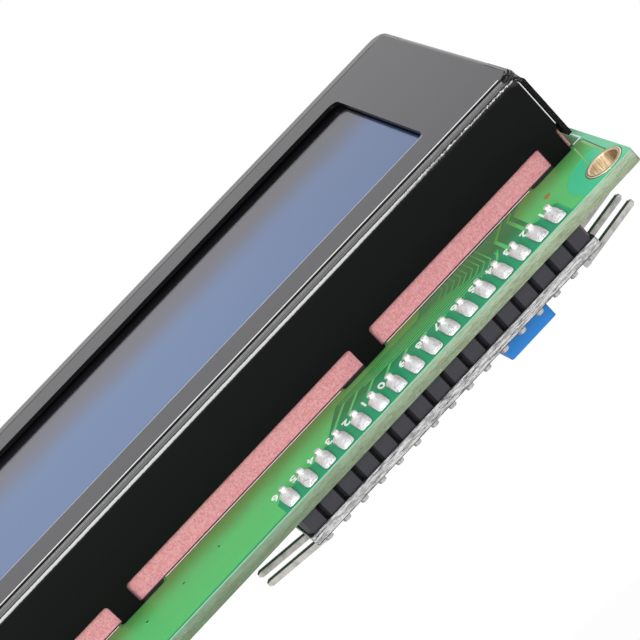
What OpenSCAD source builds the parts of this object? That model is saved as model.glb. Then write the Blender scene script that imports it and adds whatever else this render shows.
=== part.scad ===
// Character LCD module: a twenty by four display on its own circuit board, held
// by a folded steel bezel, with a serial adapter board soldered behind it.
// The origin is the middle of the four mounting holes on the board's front face.
// +Z points out of the display, +Y to the edge with the sixteen pins.

/* [Circuit board] */
// Length of the main board
board_l = 98; // [97.6:0.1:104]
// Width of the main board
board_w = 60; // [59.6:0.1:64]
// Thickness of the main board
board_t = 1.6; // [0.8:0.1:2.4]
// Radius of the board's corners
board_corner_r = 0.4; // [0.2:0.1:2]
// Distance between mounting holes along the board
hole_pitch_x = 93; // [92:0.1:93.2]
// Distance between mounting holes across the board
hole_pitch_y = 55; // [54:0.1:55.2]
// Diameter inside a plated mounting hole
hole_d = 3.5; // [2.5:0.1:3.6]
// Wall of the plating in a mounting hole
plating_t = 0.1; // [0.05:0.05:0.2]
// Outer diameter of the bare ring round a mounting hole
hole_ring_d = 4.3; // [4:0.1:4.6]
// Height of the bare ring over the board's face
hole_ring_t = 0.06; // [0.03:0.01:0.15]

/* [Bezel] */
// Length of the folded bezel
bezel_l = 96.1; // [95.7:0.1:96.5]
// Width of the folded bezel
bezel_w = 38.5; // [38.3:0.1:39]
// Height of the bezel's face over the board
bezel_h = 10.5; // [9.8:0.1:12]
// Thickness of the bezel's steel sheet
sheet_t = 0.5; // [0.4:0.05:0.6]
// Outer radius of the folds
fold_r = 0.8; // [0.65:0.05:1.2]
// Length of the viewing window
window_l = 75.6; // [70:0.2:80]
// Width of the viewing window
window_w = 26.8; // [24:0.2:29]
// Radius of the viewing window's corners
window_r = 0.5; // [0.2:0.1:2]
// Height of the cut-outs along the foot of a long wall
cutout_h = 2.65; // [1.5:0.05:4]
// Radius of the top corners of those cut-outs
cutout_r = 0.4; // [0.1:0.1:1]
// Width of a leg at the end of a long wall
corner_leg_w = 2.5; // [1.5:0.1:3.2]
// Inset of a corner leg from the end of the bezel
corner_leg_inset = 1.35; // [1.2:0.05:1.8]
// Width of a leg near the middle of a long wall
middle_leg_w = 2.75; // [1.5:0.05:3.2]
// Distance of a middle leg's centre from the middle of the bezel
middle_leg_x = 17.6; // [12:0.1:24]
// Gap between a long wall's end and the end wall
seam_gap = 0.14; // [0.05:0.01:0.4]
// Height up to which that gap is widened to a notch
notch_h = 3.1; // [2:0.1:5]
// Height of an end wall's lower edge over the board
end_wall_lift = 1.2; // [0.6:0.1:3]
// How far a leg's foot reaches sideways past its neck
foot_reach = 2.9; // [1:0.1:3.1]
// Height of a foot behind the board
foot_h = 1.6; // [0.8:0.1:1.7]
// Angle by which a foot is twisted to lock it
foot_twist = 20; // [10:1:30]
// Clearance of a leg in its slot, on every side
slot_clear = 0.25; // [0.1:0.05:0.5]

/* [Display cell] */
// Depth of the front film's surface below the bezel's inner face
cell_sink = 0.3; // [0.1:0.05:0.6]
// Thickness of a polarising film
film_t = 0.2; // [0.1:0.05:0.4]
// Inset of a film from the edge of its glass
film_inset = 1.5; // [0.5:0.1:3]
// Thickness of one sheet of glass
glass_t = 1.1; // [0.55:0.05:1.3]
// Clearance of the front glass inside the bezel
glass_clear = 0.3; // [0.2:0.05:0.6]
// Width of the ledge where a contact strip meets the front glass
ledge_w = 2.1; // [1.9:0.1:3]

/* [Contact strips] */
// Thickness of a rubber contact strip
strip_t = 1.7; // [1.2:0.05:1.75]
// Clearance between a strip and the bezel's long wall
strip_clear = 0.1; // [0.05:0.01:0.15]
// Clearance between a strip's end and the bezel's end wall
strip_end_clear = 0.35; // [0.2:0.05:2]

/* [Backlight] */
// Wall of the backlight's white tray
tray_wall = 1.6; // [1:0.1:3]
// Floor of the backlight's white tray
tray_floor = 1.2; // [0.8:0.1:2]
// Inset of the tray's ends from the bezel's ends
tray_end_inset = 2.2; // [1.5:0.1:5]
// Gap between the tray and a contact strip
tray_gap = 0.3; // [0.1:0.05:0.5]
// Thickness of the light diffusing sheet
diffuser_t = 0.5; // [0.3:0.1:1]
// Thickness of the lamp board at the tray's end
lamp_board_t = 0.8; // [0.6:0.1:1.2]
// Length of the lamp board
lamp_board_l = 24; // [16:1:28]
// Number of lamps on the lamp board
lamp_count = 4; // [2:1:5]
// Height of a lamp over its board
lamp_t = 0.9; // [0.6:0.1:1.2]
// Distance between the two supply leads
supply_pitch = 5.08; // [2.54:2.54:10.16]

/* [Pin row] */
// Distance between neighbouring pins
pitch = 2.54; // [2.5:0.01:2.54]
// Number of pins along the board's edge
pin_count = 16; // [14:1:16]
// Distance from the board's end to the first pin
first_pin_x = 9.8; // [9:0.1:10.5]
// Distance from the board's long edge to the pins
pin_edge = 2.5; // [2.2:0.1:3]
// Width of a square pin
pin_w = 0.64; // [0.5:0.01:0.7]
// Height of a pin's tip over the board's front face
pin_top = 1.15; // [0.6:0.05:2]
// Height of the header's plastic between the boards
header_h = 2.5; // [2:0.1:3]
// Width of the header's plastic
header_w = 2.5; // [2:0.1:2.54]
// Chamfer that divides the header's plastic into blocks
header_chamfer = 0.36; // [0.2:0.02:0.6]
// Depth of the grooves between the blocks of the sixteen-way header
header_groove = 0.8; // [0.3:0.05:0.85]
// Width of a solder pad on the display side
pad_w = 1.64; // [1.3:0.02:2]
// Distance from a solder pad to the board's edge
pad_edge = 0.25; // [0.15:0.05:0.5]
// Reach of a solder pad past its pin, away from the edge
pad_back = 1.3; // [0.9:0.05:1.8]
// Height of a solder joint on the display side
solder_h = 1.38; // [1.3:0.02:2.4]
// Clearance of the pins in the boards' drilled holes
pin_hole_clear = 0.05; // [0.02:0.01:0.15]

/* [Adapter board] */
// Length of the adapter board
adapter_l = 41; // [40.8:0.1:43]
// Width of the adapter board
adapter_w = 19.2; // [19:0.1:22]
// Thickness of the adapter board
adapter_t = 1.2; // [0.8:0.1:1.6]
// Distance from the adapter's long edge to the pins
adapter_pin_edge = 1.4; // [1.2:0.1:2]
// Height of a small solder joint
small_solder_h = 0.85; // [0.5:0.05:1.1]
// Radius of a small solder joint
small_solder_r = 0.8; // [0.6:0.05:0.9]

/* [Bus and jumper headers] */
// Number of pins on the bus header
bus_count = 4; // [4:1:4]
// Distance from the pin row to the first bus pin
bus_drop = 2.6; // [2.6:0.1:3]
// Number of pins on the jumper header
jumper_count = 2; // [2:1:3]
// Distance from the pin row to the first jumper pin
jumper_drop = 3.2; // [2.6:0.1:6]
// Length of a side pin beyond the adapter's end
side_pin_l = 6.1; // [5:0.1:8]
// Angle by which the side pins lean towards the display
side_pin_lean = 7.5; // [0:0.5:8]
// Distance from the adapter's end to the bend of the side pins
side_inset = 1.75; // [1.5:0.05:3]
// Distance from the adapter's back to the first side pin, at the adapter's end
side_pin_drop = 1.8; // [1.8:0.1:2.2]
// Step from one side pin to the next, towards the display
side_pin_step = 0.25; // [0:0.05:0.25]
// Height of a side header's plastic
side_block_h = 2.3; // [2:0.1:2.3]

/* [Contrast trimmer] */
// Width of the trimmer along the board
trimmer_l = 6.5; // [6:0.1:7]
// Width of the trimmer across the board
trimmer_w = 7; // [6:0.1:7.4]
// Height of the trimmer
trimmer_h = 4.8; // [4:0.1:6]
// Distance from the adapter's end to the trimmer's middle
trimmer_x = 10.3; // [9.5:0.1:12]
// Distance from the pin row to the trimmer's near face
trimmer_drop = 5.3; // [4.5:0.1:7]
// Diameter of the turning screw
screw_d = 3; // [2:0.1:4]
// Depth of the turning screw
screw_h = 1.3; // [0.8:0.1:2]
// Clearance round and under the turning screw
screw_clear = 0.1; // [0.06:0.01:0.2]
// Width of the screw's slot
screw_slot_w = 0.6; // [0.4:0.05:0.8]
// Depth of the screw's slot
screw_slot_h = 0.7; // [0.3:0.05:0.75]

/* [Port chip] */
// Length of the chip's body
chip_l = 10.3; // [9.9:0.1:11]
// Width of the chip's body
chip_w = 7.5; // [6:0.1:7.6]
// Height of the chip's body
chip_h = 2.3; // [1.6:0.1:2.6]
// Distance between the chip's leads
chip_pitch = 1.27; // [1.2:0.01:1.27]
// Distance between the tips of the two lead rows
chip_span = 10.3; // [9.6:0.1:10.6]
// Distance from the adapter's end to the chip's middle
chip_x = 22.6; // [22:0.1:24]
// Distance from the pin row to the chip's middle
chip_drop = 9.9; // [9.4:0.1:11]

/* [Small parts] */
// Length of a small chip part
small_l = 2; // [1.6:0.1:2.2]
// Width of a small chip part
small_w = 1.25; // [0.8:0.05:1.4]
// Height of a small chip part
small_h = 0.55; // [0.4:0.05:0.8]
// Height of the sealed drops over the display's own chips
drop_h = 1.3; // [0.8:0.1:1.6]
// Radius of the sealed drop over the control chip
control_drop_r = 6.5; // [4:0.5:8]
// Radius of the sealed drops over the driver chips
driver_drop_r = 7.5; // [5:0.5:8]
// Distance between neighbouring sealed drops
drop_pitch = 29; // [26:0.5:30]

/* [Hidden] */
$fn = 48;
EPS = 0.01;

inner_l = bezel_l - 2 * sheet_t;
inner_w = bezel_w - 2 * sheet_t;
fold_in_r = fold_r - sheet_t;
wall_y = bezel_w / 2 - sheet_t / 2;
long_wall_l = inner_l - 2 * seam_gap;
leg_outer_x = bezel_l / 2 - corner_leg_inset;

film_top = bezel_h - sheet_t - cell_sink;
front_glass_top = film_top - film_t;
rear_glass_top = front_glass_top - glass_t;
rear_film_top = rear_glass_top - glass_t;
tray_top = rear_film_top - film_t;
front_glass_l = inner_l - 2 * glass_clear;
front_glass_w = inner_w - 2 * glass_clear;
rear_glass_w = front_glass_w - 2 * ledge_w;
rear_glass_l = front_glass_l - 2 * ledge_w;

strip_y = inner_w / 2 - strip_clear - strip_t / 2;
strip_l = inner_l - 2 * strip_end_clear;
strip_h = rear_glass_top;

tray_w = 2 * (strip_y - strip_t / 2 - tray_gap);
tray_l = bezel_l - 2 * tray_end_inset;
guide_w = tray_w - 2 * tray_wall;
guide_l = tray_l - 2 * tray_wall - lamp_board_t - lamp_t;
guide_x = -(lamp_board_t + lamp_t) / 2;
guide_top = tray_top - diffuser_t;
lamp_board_x = tray_l / 2 - tray_wall - lamp_board_t / 2;
lamp_board_h = guide_top - tray_floor;
lamp_w = 2.8;
lamp_h = 1.2;
supply_pin_w = 0.5;

pin_y = board_w / 2 - pin_edge;
pin_x0 = first_pin_x - board_l / 2;
pin_mid_x = pin_x0 + (pin_count - 1) * pitch / 2;
pin_hole_d = pin_w * sqrt(2) + 2 * pin_hole_clear;

adapter_top = -board_t - header_h;
adapter_back = adapter_top - adapter_t;
adapter_x0 = pin_mid_x - adapter_l / 2;
adapter_x1 = pin_mid_x + adapter_l / 2;
adapter_y1 = pin_y + adapter_pin_edge;
pin_bottom = adapter_back - small_solder_h;

side_block_w = 2.5;
side_pin_z = adapter_back - side_pin_drop;
bus_y = pin_y - bus_drop;
jumper_y = pin_y - jumper_drop;

trimmer_mid_x = adapter_x0 + trimmer_x;
trimmer_mid_y = pin_y - trimmer_drop - trimmer_w / 2;
trimmer_face = adapter_back - trimmer_h;
trimmer_pin_pitch = 2.54;
trimmer_foot_h = 0.35;
trimmer_foot_w = 1.2;

chip_mid_x = adapter_x0 + chip_x;
chip_mid_y = pin_y - chip_drop;
chip_lift = 0.2;
lead_w = 0.42;
lead_t = 0.25;

transistor_x = adapter_x1 - 7.5;
transistor_y = pin_y - 6.5;
transistor_l = 2.9;
transistor_w = 1.4;
transistor_h = 1;
transistor_lift = 0.1;
transistor_pitch = 1.9;

thick_h = 0.8;
power_lamp_place = [6, 15.6];
resistor_places = [[11, 15.8], [14.2, 15.8], [29.5, 5.5], [29.5, 8], [29.5, 10.5], [33, 13.5], [36, 13.5]];
capacitor_places = [[16.5, 5.2], [36, 16]];
board_resistor_count = 9;
board_resistor_y = 8;
drop_y = -5;

module box(x0, x1, y0, y1, z0, z1) {
    translate([x0, y0, z0]) cube([x1 - x0, y1 - y0, z1 - z0]);
}

module round_rect(l, w, r) {
    square([l - 2 * r, w], center = true);
    square([l, w - 2 * r], center = true);
    for (x = [-1, 1], y = [-1, 1])
        translate([x * (l / 2 - r), y * (w / 2 - r)]) circle(r);
}

module plate(l, w, top, t, r = 0.2) {
    translate([0, 0, top - t]) linear_extrude(t) round_rect(l, w, r);
}

// A section with two rounded top corners, standing on y = 0
module folded_section(w, h, r) {
    translate([-w / 2, 0]) square([w, h - r]);
    translate([-w / 2 + r, 0]) square([w - 2 * r, h]);
    for (x = [-1, 1]) translate([x * (w / 2 - r), h - r]) circle(r);
}

// Both pairs of folds meet at the corners, so each body is the common part
// of a run of the long section and a run of the end section
module folded_body(l, w, h, r) {
    intersection() {
        translate([l / 2, 0, 0]) rotate([90, 0, -90]) linear_extrude(l) folded_section(w, h, r);
        translate([0, w / 2, 0]) rotate([90, 0, 0]) linear_extrude(w) folded_section(l, h, r);
    }
}

// One leg, drawn on the +Y wall at its outer end, pointing down. The neck goes
// through the board and the foot is twisted behind it
module leg(outer_x, w) {
    mid_x = outer_x - w / 2;
    foot_top = -board_t - 0.12;
    box(outer_x - w, outer_x, wall_y - sheet_t / 2, wall_y + sheet_t / 2, foot_top - 0.1, cutout_h + EPS);
    translate([mid_x, wall_y, foot_top - foot_h]) rotate([0, 0, -foot_twist])
        translate([-w / 2 - foot_reach, -sheet_t / 2, 0]) cube([w + foot_reach, sheet_t, foot_h]);
}

module slot(outer_x, w) {
    x0 = outer_x - w - foot_reach - slot_clear;
    x1 = outer_x + slot_clear;
    sw = sheet_t + 2 * slot_clear;
    translate([x0 + sw / 2, wall_y]) circle(sw / 2);
    translate([x1 - sw / 2, wall_y]) circle(sw / 2);
    translate([x0 + sw / 2, wall_y - sw / 2]) square([x1 - x0 - sw, sw]);
}

module four_corners() {
    for (x = [0, 1], y = [0, 1]) mirror([x, 0, 0]) mirror([0, y, 0]) children();
}

// Cut-out of a long wall between two legs, open at the bottom
module wall_cutout(x0, x1) {
    translate([0, bezel_w / 2 + 1, 0]) rotate([90, 0, 0]) linear_extrude(sheet_t + fold_r + 1) {
        translate([x0, -1]) square([x1 - x0, cutout_h + 1 - cutout_r]);
        translate([x0 + cutout_r, 0]) square([x1 - x0 - 2 * cutout_r, cutout_h]);
        translate([x0 + cutout_r, cutout_h - cutout_r]) circle(cutout_r);
        translate([x1 - cutout_r, cutout_h - cutout_r]) circle(cutout_r);
    }
}

// The open seam at a corner: a slit up to the fold, and below it the end of
// the long wall steps back in a slanted notch to the leg
module corner_seam() {
    x_in = inner_l / 2;
    x_wall = long_wall_l / 2;
    translate([0, bezel_w / 2 + 1, 0]) rotate([90, 0, 0]) linear_extrude(sheet_t + fold_r + 1)
        polygon([[x_in, bezel_h - fold_r], [x_in, -1], [leg_outer_x, -1],
            [leg_outer_x + 0.1, notch_h - 0.7], [x_wall, notch_h], [x_wall, bezel_h - fold_r]]);
}

module bezel() {
    color([0.13, 0.13, 0.13]) {
        difference() {
            folded_body(bezel_l, bezel_w, bezel_h, fold_r);
            translate([0, 0, -sheet_t]) folded_body(inner_l, inner_w, bezel_h, fold_in_r);
            translate([0, 0, bezel_h / 2]) linear_extrude(bezel_h) round_rect(window_l, window_w, window_r);
            for (y = [0, 1]) mirror([0, y, 0]) {
                wall_cutout(-middle_leg_x + middle_leg_w / 2, middle_leg_x - middle_leg_w / 2);
                for (x = [0, 1]) mirror([x, 0, 0]) {
                    wall_cutout(middle_leg_x + middle_leg_w / 2, leg_outer_x - corner_leg_w);
                    corner_seam();
                }
            }
            for (x = [0, 1]) mirror([x, 0, 0])
                box(inner_l / 2 - EPS, bezel_l, -bezel_w, bezel_w, -1, end_wall_lift);
        }
        four_corners() {
            leg(leg_outer_x, corner_leg_w);
            leg(middle_leg_x + middle_leg_w / 2, middle_leg_w);
        }
    }
}

module front_film() {
    color([0.12, 0.2, 0.5])
        plate(front_glass_l - 2 * film_inset, front_glass_w - 2 * film_inset, film_top, film_t);
}

module front_glass() {
    color([0.5, 0.6, 0.8]) plate(front_glass_l, front_glass_w, front_glass_top, glass_t);
}

module rear_glass() {
    color([0.4, 0.5, 0.7]) plate(rear_glass_l, rear_glass_w, rear_glass_top, glass_t);
}

module rear_film() {
    color([0.75, 0.78, 0.85])
        plate(rear_glass_l - 2 * film_inset, rear_glass_w - 2 * film_inset, rear_film_top, film_t);
}

module contact_strip(side) {
    color([0.88, 0.6, 0.62]) translate([-strip_l / 2, side * strip_y - strip_t / 2, 0])
        cube([strip_l, strip_t, strip_h]);
}

module contact_strip_pin_side() {
    contact_strip(1);
}

module contact_strip_far_side() {
    contact_strip(-1);
}

module diffuser_sheet() {
    color([0.95, 0.95, 0.95]) translate([guide_x, 0, 0]) plate(guide_l, guide_w, tray_top, diffuser_t);
}

module light_guide() {
    color([0.8, 0.9, 0.95]) translate([guide_x, 0, 0])
        plate(guide_l, guide_w, guide_top, guide_top - tray_floor);
}

// White tray that stands on the board between the contact strips
module backlight_tray() {
    x = tray_l / 2 - tray_wall;
    color([0.93, 0.93, 0.9]) difference() {
        plate(tray_l, tray_w, tray_top, tray_top, 0.6);
        box(-x, x, -guide_w / 2, guide_w / 2, tray_floor, tray_top + 1);
        for (y = [-1, 1]) translate([lamp_board_x, y * supply_pitch / 2, -1])
            cylinder(d = supply_pin_w * sqrt(2) + 2 * pin_hole_clear, h = tray_floor + 2);
    }
}

module lamp_board() {
    color([0.9, 0.88, 0.75]) difference() {
        box(lamp_board_x - lamp_board_t / 2, lamp_board_x + lamp_board_t / 2,
            -lamp_board_l / 2, lamp_board_l / 2, tray_floor, tray_floor + lamp_board_h);
        for (y = [-1, 1]) translate([lamp_board_x, y * supply_pitch / 2, tray_floor - EPS])
            supply_pin(supply_pin_w + 2 * EPS, 2);
    }
}

module backlight_lamps() {
    color([1, 0.95, 0.7]) for (i = [0 : lamp_count - 1])
        translate([lamp_board_x - lamp_board_t / 2 - lamp_t,
            (i - (lamp_count - 1) / 2) * lamp_board_l / lamp_count - lamp_w / 2,
            tray_floor + lamp_board_h / 2 - lamp_h / 2]) cube([lamp_t, lamp_w, lamp_h]);
}

module supply_pin(w, h) {
    translate([-w / 2, -w / 2, 0]) cube([w, w, h]);
}

// Two leads from the lamp board through the tray and the main board
module backlight_leads() {
    below = board_t + small_solder_h;
    color([0.8, 0.8, 0.8]) for (y = [-1, 1]) translate([lamp_board_x, y * supply_pitch / 2, -below])
        supply_pin(supply_pin_w, below + tray_floor + 2 - EPS);
}

module board() {
    color([0.3, 0.68, 0.42]) translate([0, 0, -board_t]) linear_extrude(board_t) difference() {
        round_rect(board_l, board_w, board_corner_r);
        four_corners() {
            translate([hole_pitch_x / 2, hole_pitch_y / 2]) circle(d = hole_d + 2 * plating_t);
            slot(leg_outer_x, corner_leg_w);
            slot(middle_leg_x + middle_leg_w / 2, middle_leg_w);
        }
        for (i = [0 : pin_count - 1]) translate([pin_x0 + i * pitch, pin_y]) circle(d = pin_hole_d);
        for (y = [-1, 1]) translate([lamp_board_x, y * supply_pitch / 2])
            circle(d = supply_pin_w * sqrt(2) + 2 * pin_hole_clear);
    }
}

// Plated barrels with a bare ring on both faces
module hole_platings() {
    color([0.78, 0.66, 0.42]) four_corners() translate([hole_pitch_x / 2, hole_pitch_y / 2, 0])
        rotate_extrude() {
            translate([hole_d / 2, -board_t - hole_ring_t]) square([plating_t, board_t + 2 * hole_ring_t]);
            for (z = [0, -board_t - hole_ring_t])
                translate([hole_d / 2, z]) square([(hole_ring_d - hole_d) / 2, hole_ring_t]);
        }
}

// A low round drop of sealing resin on the back of the main board
module sealed_drop(x, y, r) {
    ball_r = (r * r + drop_h * drop_h) / (2 * drop_h);
    color([0.08, 0.08, 0.09]) translate([x, y, -board_t]) mirror([0, 0, 1]) rotate_extrude($fn = 96)
        intersection() {
            translate([0, drop_h - ball_r]) circle(ball_r, $fn = 360);
            square([r + 1, drop_h + 1]);
        }
}

module control_chip_drop() {
    sealed_drop(-drop_pitch, drop_y, control_drop_r);
}

module driver_chip_drop_left() {
    sealed_drop(0, drop_y, driver_drop_r);
}

module driver_chip_drop_right() {
    sealed_drop(drop_pitch, drop_y, driver_drop_r);
}

// A chip part lying on a face that looks down: body with two end caps
module chip_part(l, w, h) {
    cap = l / 5;
    translate([-l / 2, -w / 2, -h]) cube([cap, w, h]);
    translate([l / 2 - cap, -w / 2, -h]) cube([cap, w, h]);
    translate([-l / 2 + cap / 2, -w / 2 + 0.04, -h + 0.04]) cube([l - cap, w - 0.08, h - 0.04]);
}

// One row of resistors beside the driver drops
module board_resistors() {
    x0 = drop_pitch / 2 - (board_resistor_count - 1) * pitch;
    color([0.15, 0.15, 0.16]) for (i = [0 : board_resistor_count - 1])
        translate([x0 + i * 2 * pitch, board_resistor_y, -board_t])
            rotate([0, 0, 90]) chip_part(small_l, small_w, small_h);
}

// A small cone of solder with a hollowed flank, on a face that looks up,
// round a pin that ends level with it
module small_joint(pin) {
    r = small_solder_r;
    neck = pin * 0.72;
    flank_h = small_solder_h * 0.95;
    flank_r = r - neck * 0.65;
    difference() {
        rotate_extrude() difference() {
            square([r, small_solder_h]);
            translate([r + neck * 0.35, flank_h]) scale([1, flank_h / flank_r]) circle(flank_r);
            translate([neck, flank_h]) square([r, small_solder_h]);
        }
        translate([-pin / 2, -pin / 2, -1]) cube([pin, pin, small_solder_h + 2]);
    }
}

// Outline of half a mound that rises from a pad's edge at the given reach to
// the neck of solder round a pin
mound_curve = [[1, 0], [0.96, 0.11], [0.7, 0.24], [0.38, 0.38], [0.12, 0.54], [0, 0.7], [0, 1]];
function mound_side(reach, neck) = concat([[-EPS, solder_h], [-EPS, 0]],
    [for (p = mound_curve) [neck + (reach - neck) * p[0], solder_h * p[1]]]);

module mound_section(left, right, neck) {
    polygon(mound_side(right, neck));
    mirror([1, 0]) polygon(mound_side(left, neck));
}

// A joint on an oblong pad, drawn up over the tip of its pin
module pad_joint() {
    neck = pin_w / 2 + 0.06;
    front = pin_edge - pad_edge;
    difference() {
        intersection() {
            translate([-pad_w, 0, 0]) rotate([90, 0, 90]) linear_extrude(2 * pad_w)
                mound_section(pad_back, front, neck);
            translate([0, front + 1, 0]) rotate([90, 0, 0]) linear_extrude(front + pad_back + 2)
                mound_section(pad_w / 2, pad_w / 2, neck);
        }
        translate([-pin_w / 2, -pin_w / 2, -1]) cube([pin_w, pin_w, pin_top + 1]);
    }
}

// The sixteen joints on the display side, and the two of the backlight's
// leads behind the board
module board_solder() {
    color([0.86, 0.86, 0.87]) {
        for (i = [0 : pin_count - 1]) translate([pin_x0 + i * pitch, pin_y, 0]) pad_joint();
        for (y = [-1, 1]) translate([lamp_board_x, y * supply_pitch / 2, -board_t])
            mirror([0, 0, 1]) small_joint(supply_pin_w);
    }
}

// Plastic strip of square blocks whose chamfers leave a groove between them
module header_strip() {
    color([0.24, 0.24, 0.26]) translate([0, 0, -board_t - header_h]) linear_extrude(header_h) difference() {
        for (i = [0 : pin_count - 1]) translate([pin_x0 + i * pitch, pin_y]) {
            c = header_chamfer;
            x = pitch / 2;
            y = header_w / 2;
            web = y - header_groove;
            polygon([[-x, -web], [-x + c, -y], [x - c, -y], [x, -web],
                [x, web], [x - c, y], [-x + c, y], [-x, web]]);
        }
        for (i = [0 : pin_count - 1]) translate([pin_x0 + i * pitch, pin_y]) square(pin_w, center = true);
    }
}

// A square pin along +Z whose two ends taper
module square_pin(l) {
    c = pin_w / 4;
    h = pin_w / 2;
    outline = [[-h, c * 2], [-h + c, 0], [h - c, 0], [h, c * 2],
        [h, l - c * 2], [h - c, l], [-h + c, l], [-h, l - c * 2]];
    intersection() {
        translate([0, h, 0]) rotate([90, 0, 0]) linear_extrude(pin_w) polygon(outline);
        translate([-h, 0, 0]) rotate([90, 0, 90]) linear_extrude(pin_w) polygon(outline);
    }
}

module header_pins() {
    color([0.83, 0.8, 0.68]) for (i = [0 : pin_count - 1])
        translate([pin_x0 + i * pitch, pin_y, pin_bottom]) square_pin(pin_top - pin_bottom);
}

module adapter_board() {
    color([0.08, 0.08, 0.09]) translate([0, 0, adapter_back]) linear_extrude(adapter_t) difference() {
        translate([pin_mid_x, adapter_y1 - adapter_w / 2]) round_rect(adapter_l, adapter_w, 0.3);
        for (i = [0 : pin_count - 1]) translate([pin_x0 + i * pitch, pin_y]) circle(d = pin_hole_d);
        for (i = [0 : bus_count - 1]) translate([bus_tail_x(), bus_y - i * pitch]) circle(d = pin_hole_d);
        for (i = [0 : jumper_count - 1]) translate([jumper_tail_x(), jumper_y - i * pitch])
            circle(d = pin_hole_d);
        for (p = trimmer_pin_places()) translate(p) circle(d = pin_hole_d);
    }
}

function bus_tail_x() = adapter_x0 + side_inset;
function jumper_tail_x() = adapter_x1 - side_inset;
function trimmer_pin_places() = [for (i = [-1 : 1])
    [trimmer_mid_x + i * trimmer_pin_pitch, trimmer_mid_y + (i == 0 ? 1 : -1) * trimmer_pin_pitch / 2]];

// Small joints: round the sixteen pins and the side pins on the adapter's
// back, and over the tails of the trimmer on its front
module adapter_solder() {
    color([0.84, 0.84, 0.86]) {
        for (i = [0 : pin_count - 1]) translate([pin_x0 + i * pitch, pin_y, adapter_back])
            mirror([0, 0, 1]) small_joint(pin_w);
        for (i = [0 : bus_count - 1]) translate([bus_tail_x(), bus_y - i * pitch, adapter_back])
            mirror([0, 0, 1]) small_joint(pin_w);
        for (i = [0 : jumper_count - 1]) translate([jumper_tail_x(), jumper_y - i * pitch, adapter_back])
            mirror([0, 0, 1]) small_joint(pin_w);
        for (p = trimmer_pin_places()) translate([p[0], p[1], adapter_top]) small_joint(pin_w);
    }
}

// Plastic of a side header on the adapter's front, along -Y from its first pin
module side_block(count) {
    c = header_chamfer;
    h = side_block_w / 2;
    translate([0, 0, adapter_top]) linear_extrude(side_block_h) for (i = [0 : count - 1])
        translate([0, -i * pitch]) difference() {
            polygon([[c - h, -pitch / 2], [-h, -pitch / 2 + c], [-h, pitch / 2 - c],
                [c - h, pitch / 2], [h - c, pitch / 2], [h, pitch / 2 - c],
                [h, -pitch / 2 + c], [h - c, -pitch / 2]]);
            square(pin_w, center = true);
        }
}

// Pins of a side header: down through the plastic and the adapter board, then
// bent outwards behind it, each a little nearer to the display than the last
module side_pins(count) {
    top = adapter_top + side_block_h - pin_w / 4;
    for (i = [0 : count - 1]) {
        bend_z = side_pin_z + i * side_pin_step - side_inset * tan(side_pin_lean);
        foot = bend_z - pin_w / 2 - EPS;
        translate([0, -i * pitch, foot]) linear_extrude(top - foot) square(pin_w, center = true);
        translate([0, -i * pitch, bend_z]) rotate([0, side_pin_lean, 0]) translate([pin_w / 2, 0, 0])
            rotate([0, -90, 0]) square_pin(side_inset + side_pin_l + pin_w / 2);
    }
}

module bus_header_block() {
    color([0.1, 0.1, 0.1]) translate([bus_tail_x(), bus_y, 0]) side_block(bus_count);
}

module bus_header_pins() {
    color([0.8, 0.8, 0.8]) translate([bus_tail_x(), bus_y, 0]) side_pins(bus_count);
}

module jumper_header_block() {
    color([0.1, 0.1, 0.1]) translate([jumper_tail_x(), jumper_y, 0]) side_block(jumper_count);
}

module jumper_header_pins() {
    color([0.8, 0.8, 0.8]) translate([jumper_tail_x(), jumper_y, 0]) mirror([1, 0, 0])
        side_pins(jumper_count);
}

// Blue box with a round recess for the turning screw and feet at its corners
module trimmer_body() {
    gap_x = trimmer_l / 2 - trimmer_foot_w;
    gap_y = trimmer_w / 2 - trimmer_foot_w;
    foot_z = adapter_back - trimmer_foot_h;
    color([0.2, 0.5, 0.8]) translate([trimmer_mid_x, trimmer_mid_y, 0]) difference() {
        translate([0, 0, trimmer_face]) linear_extrude(trimmer_h) round_rect(trimmer_l, trimmer_w, 0.3);
        translate([0, 0, trimmer_face - 1])
            cylinder(d = screw_d + 2 * screw_clear, h = screw_h + screw_clear + 1);
        box(-gap_x, gap_x, -trimmer_w, trimmer_w, foot_z, adapter_back + 1);
        box(-trimmer_l, trimmer_l, -gap_y, gap_y, foot_z, adapter_back + 1);
    }
}

module trimmer_screw() {
    short_l = screw_d * 0.72;
    color([0.9, 0.88, 0.8]) translate([trimmer_mid_x, trimmer_mid_y, trimmer_face]) difference() {
        cylinder(d = screw_d, h = screw_h);
        translate([-screw_d, -screw_slot_w / 2, -1]) cube([2 * screw_d, screw_slot_w, screw_slot_h + 1]);
        translate([-screw_slot_w / 2, -short_l / 2, -1]) cube([screw_slot_w, short_l, screw_slot_h + 1]);
    }
}

module trimmer_pins() {
    color([0.8, 0.8, 0.8]) for (p = trimmer_pin_places())
        translate([p[0], p[1], adapter_back - trimmer_foot_h])
            square_pin(trimmer_foot_h + adapter_t + small_solder_h);
}

// Outline of a moulded body whose flanks slope out to the middle line
module moulded_section(w, h) {
    x = w / 2;
    s = x - h * 0.07;
    polygon([[-s, 0], [s, 0], [x, -h / 2], [s, -h], [-s, -h], [-x, -h / 2]]);
}

module moulded_body(l, w, h) {
    intersection() {
        translate([0, w / 2, 0]) rotate([90, 0, 0]) linear_extrude(w) moulded_section(l, h);
        translate([-l / 2, 0, 0]) rotate([90, 0, 90]) linear_extrude(l) moulded_section(w, h);
    }
}

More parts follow.
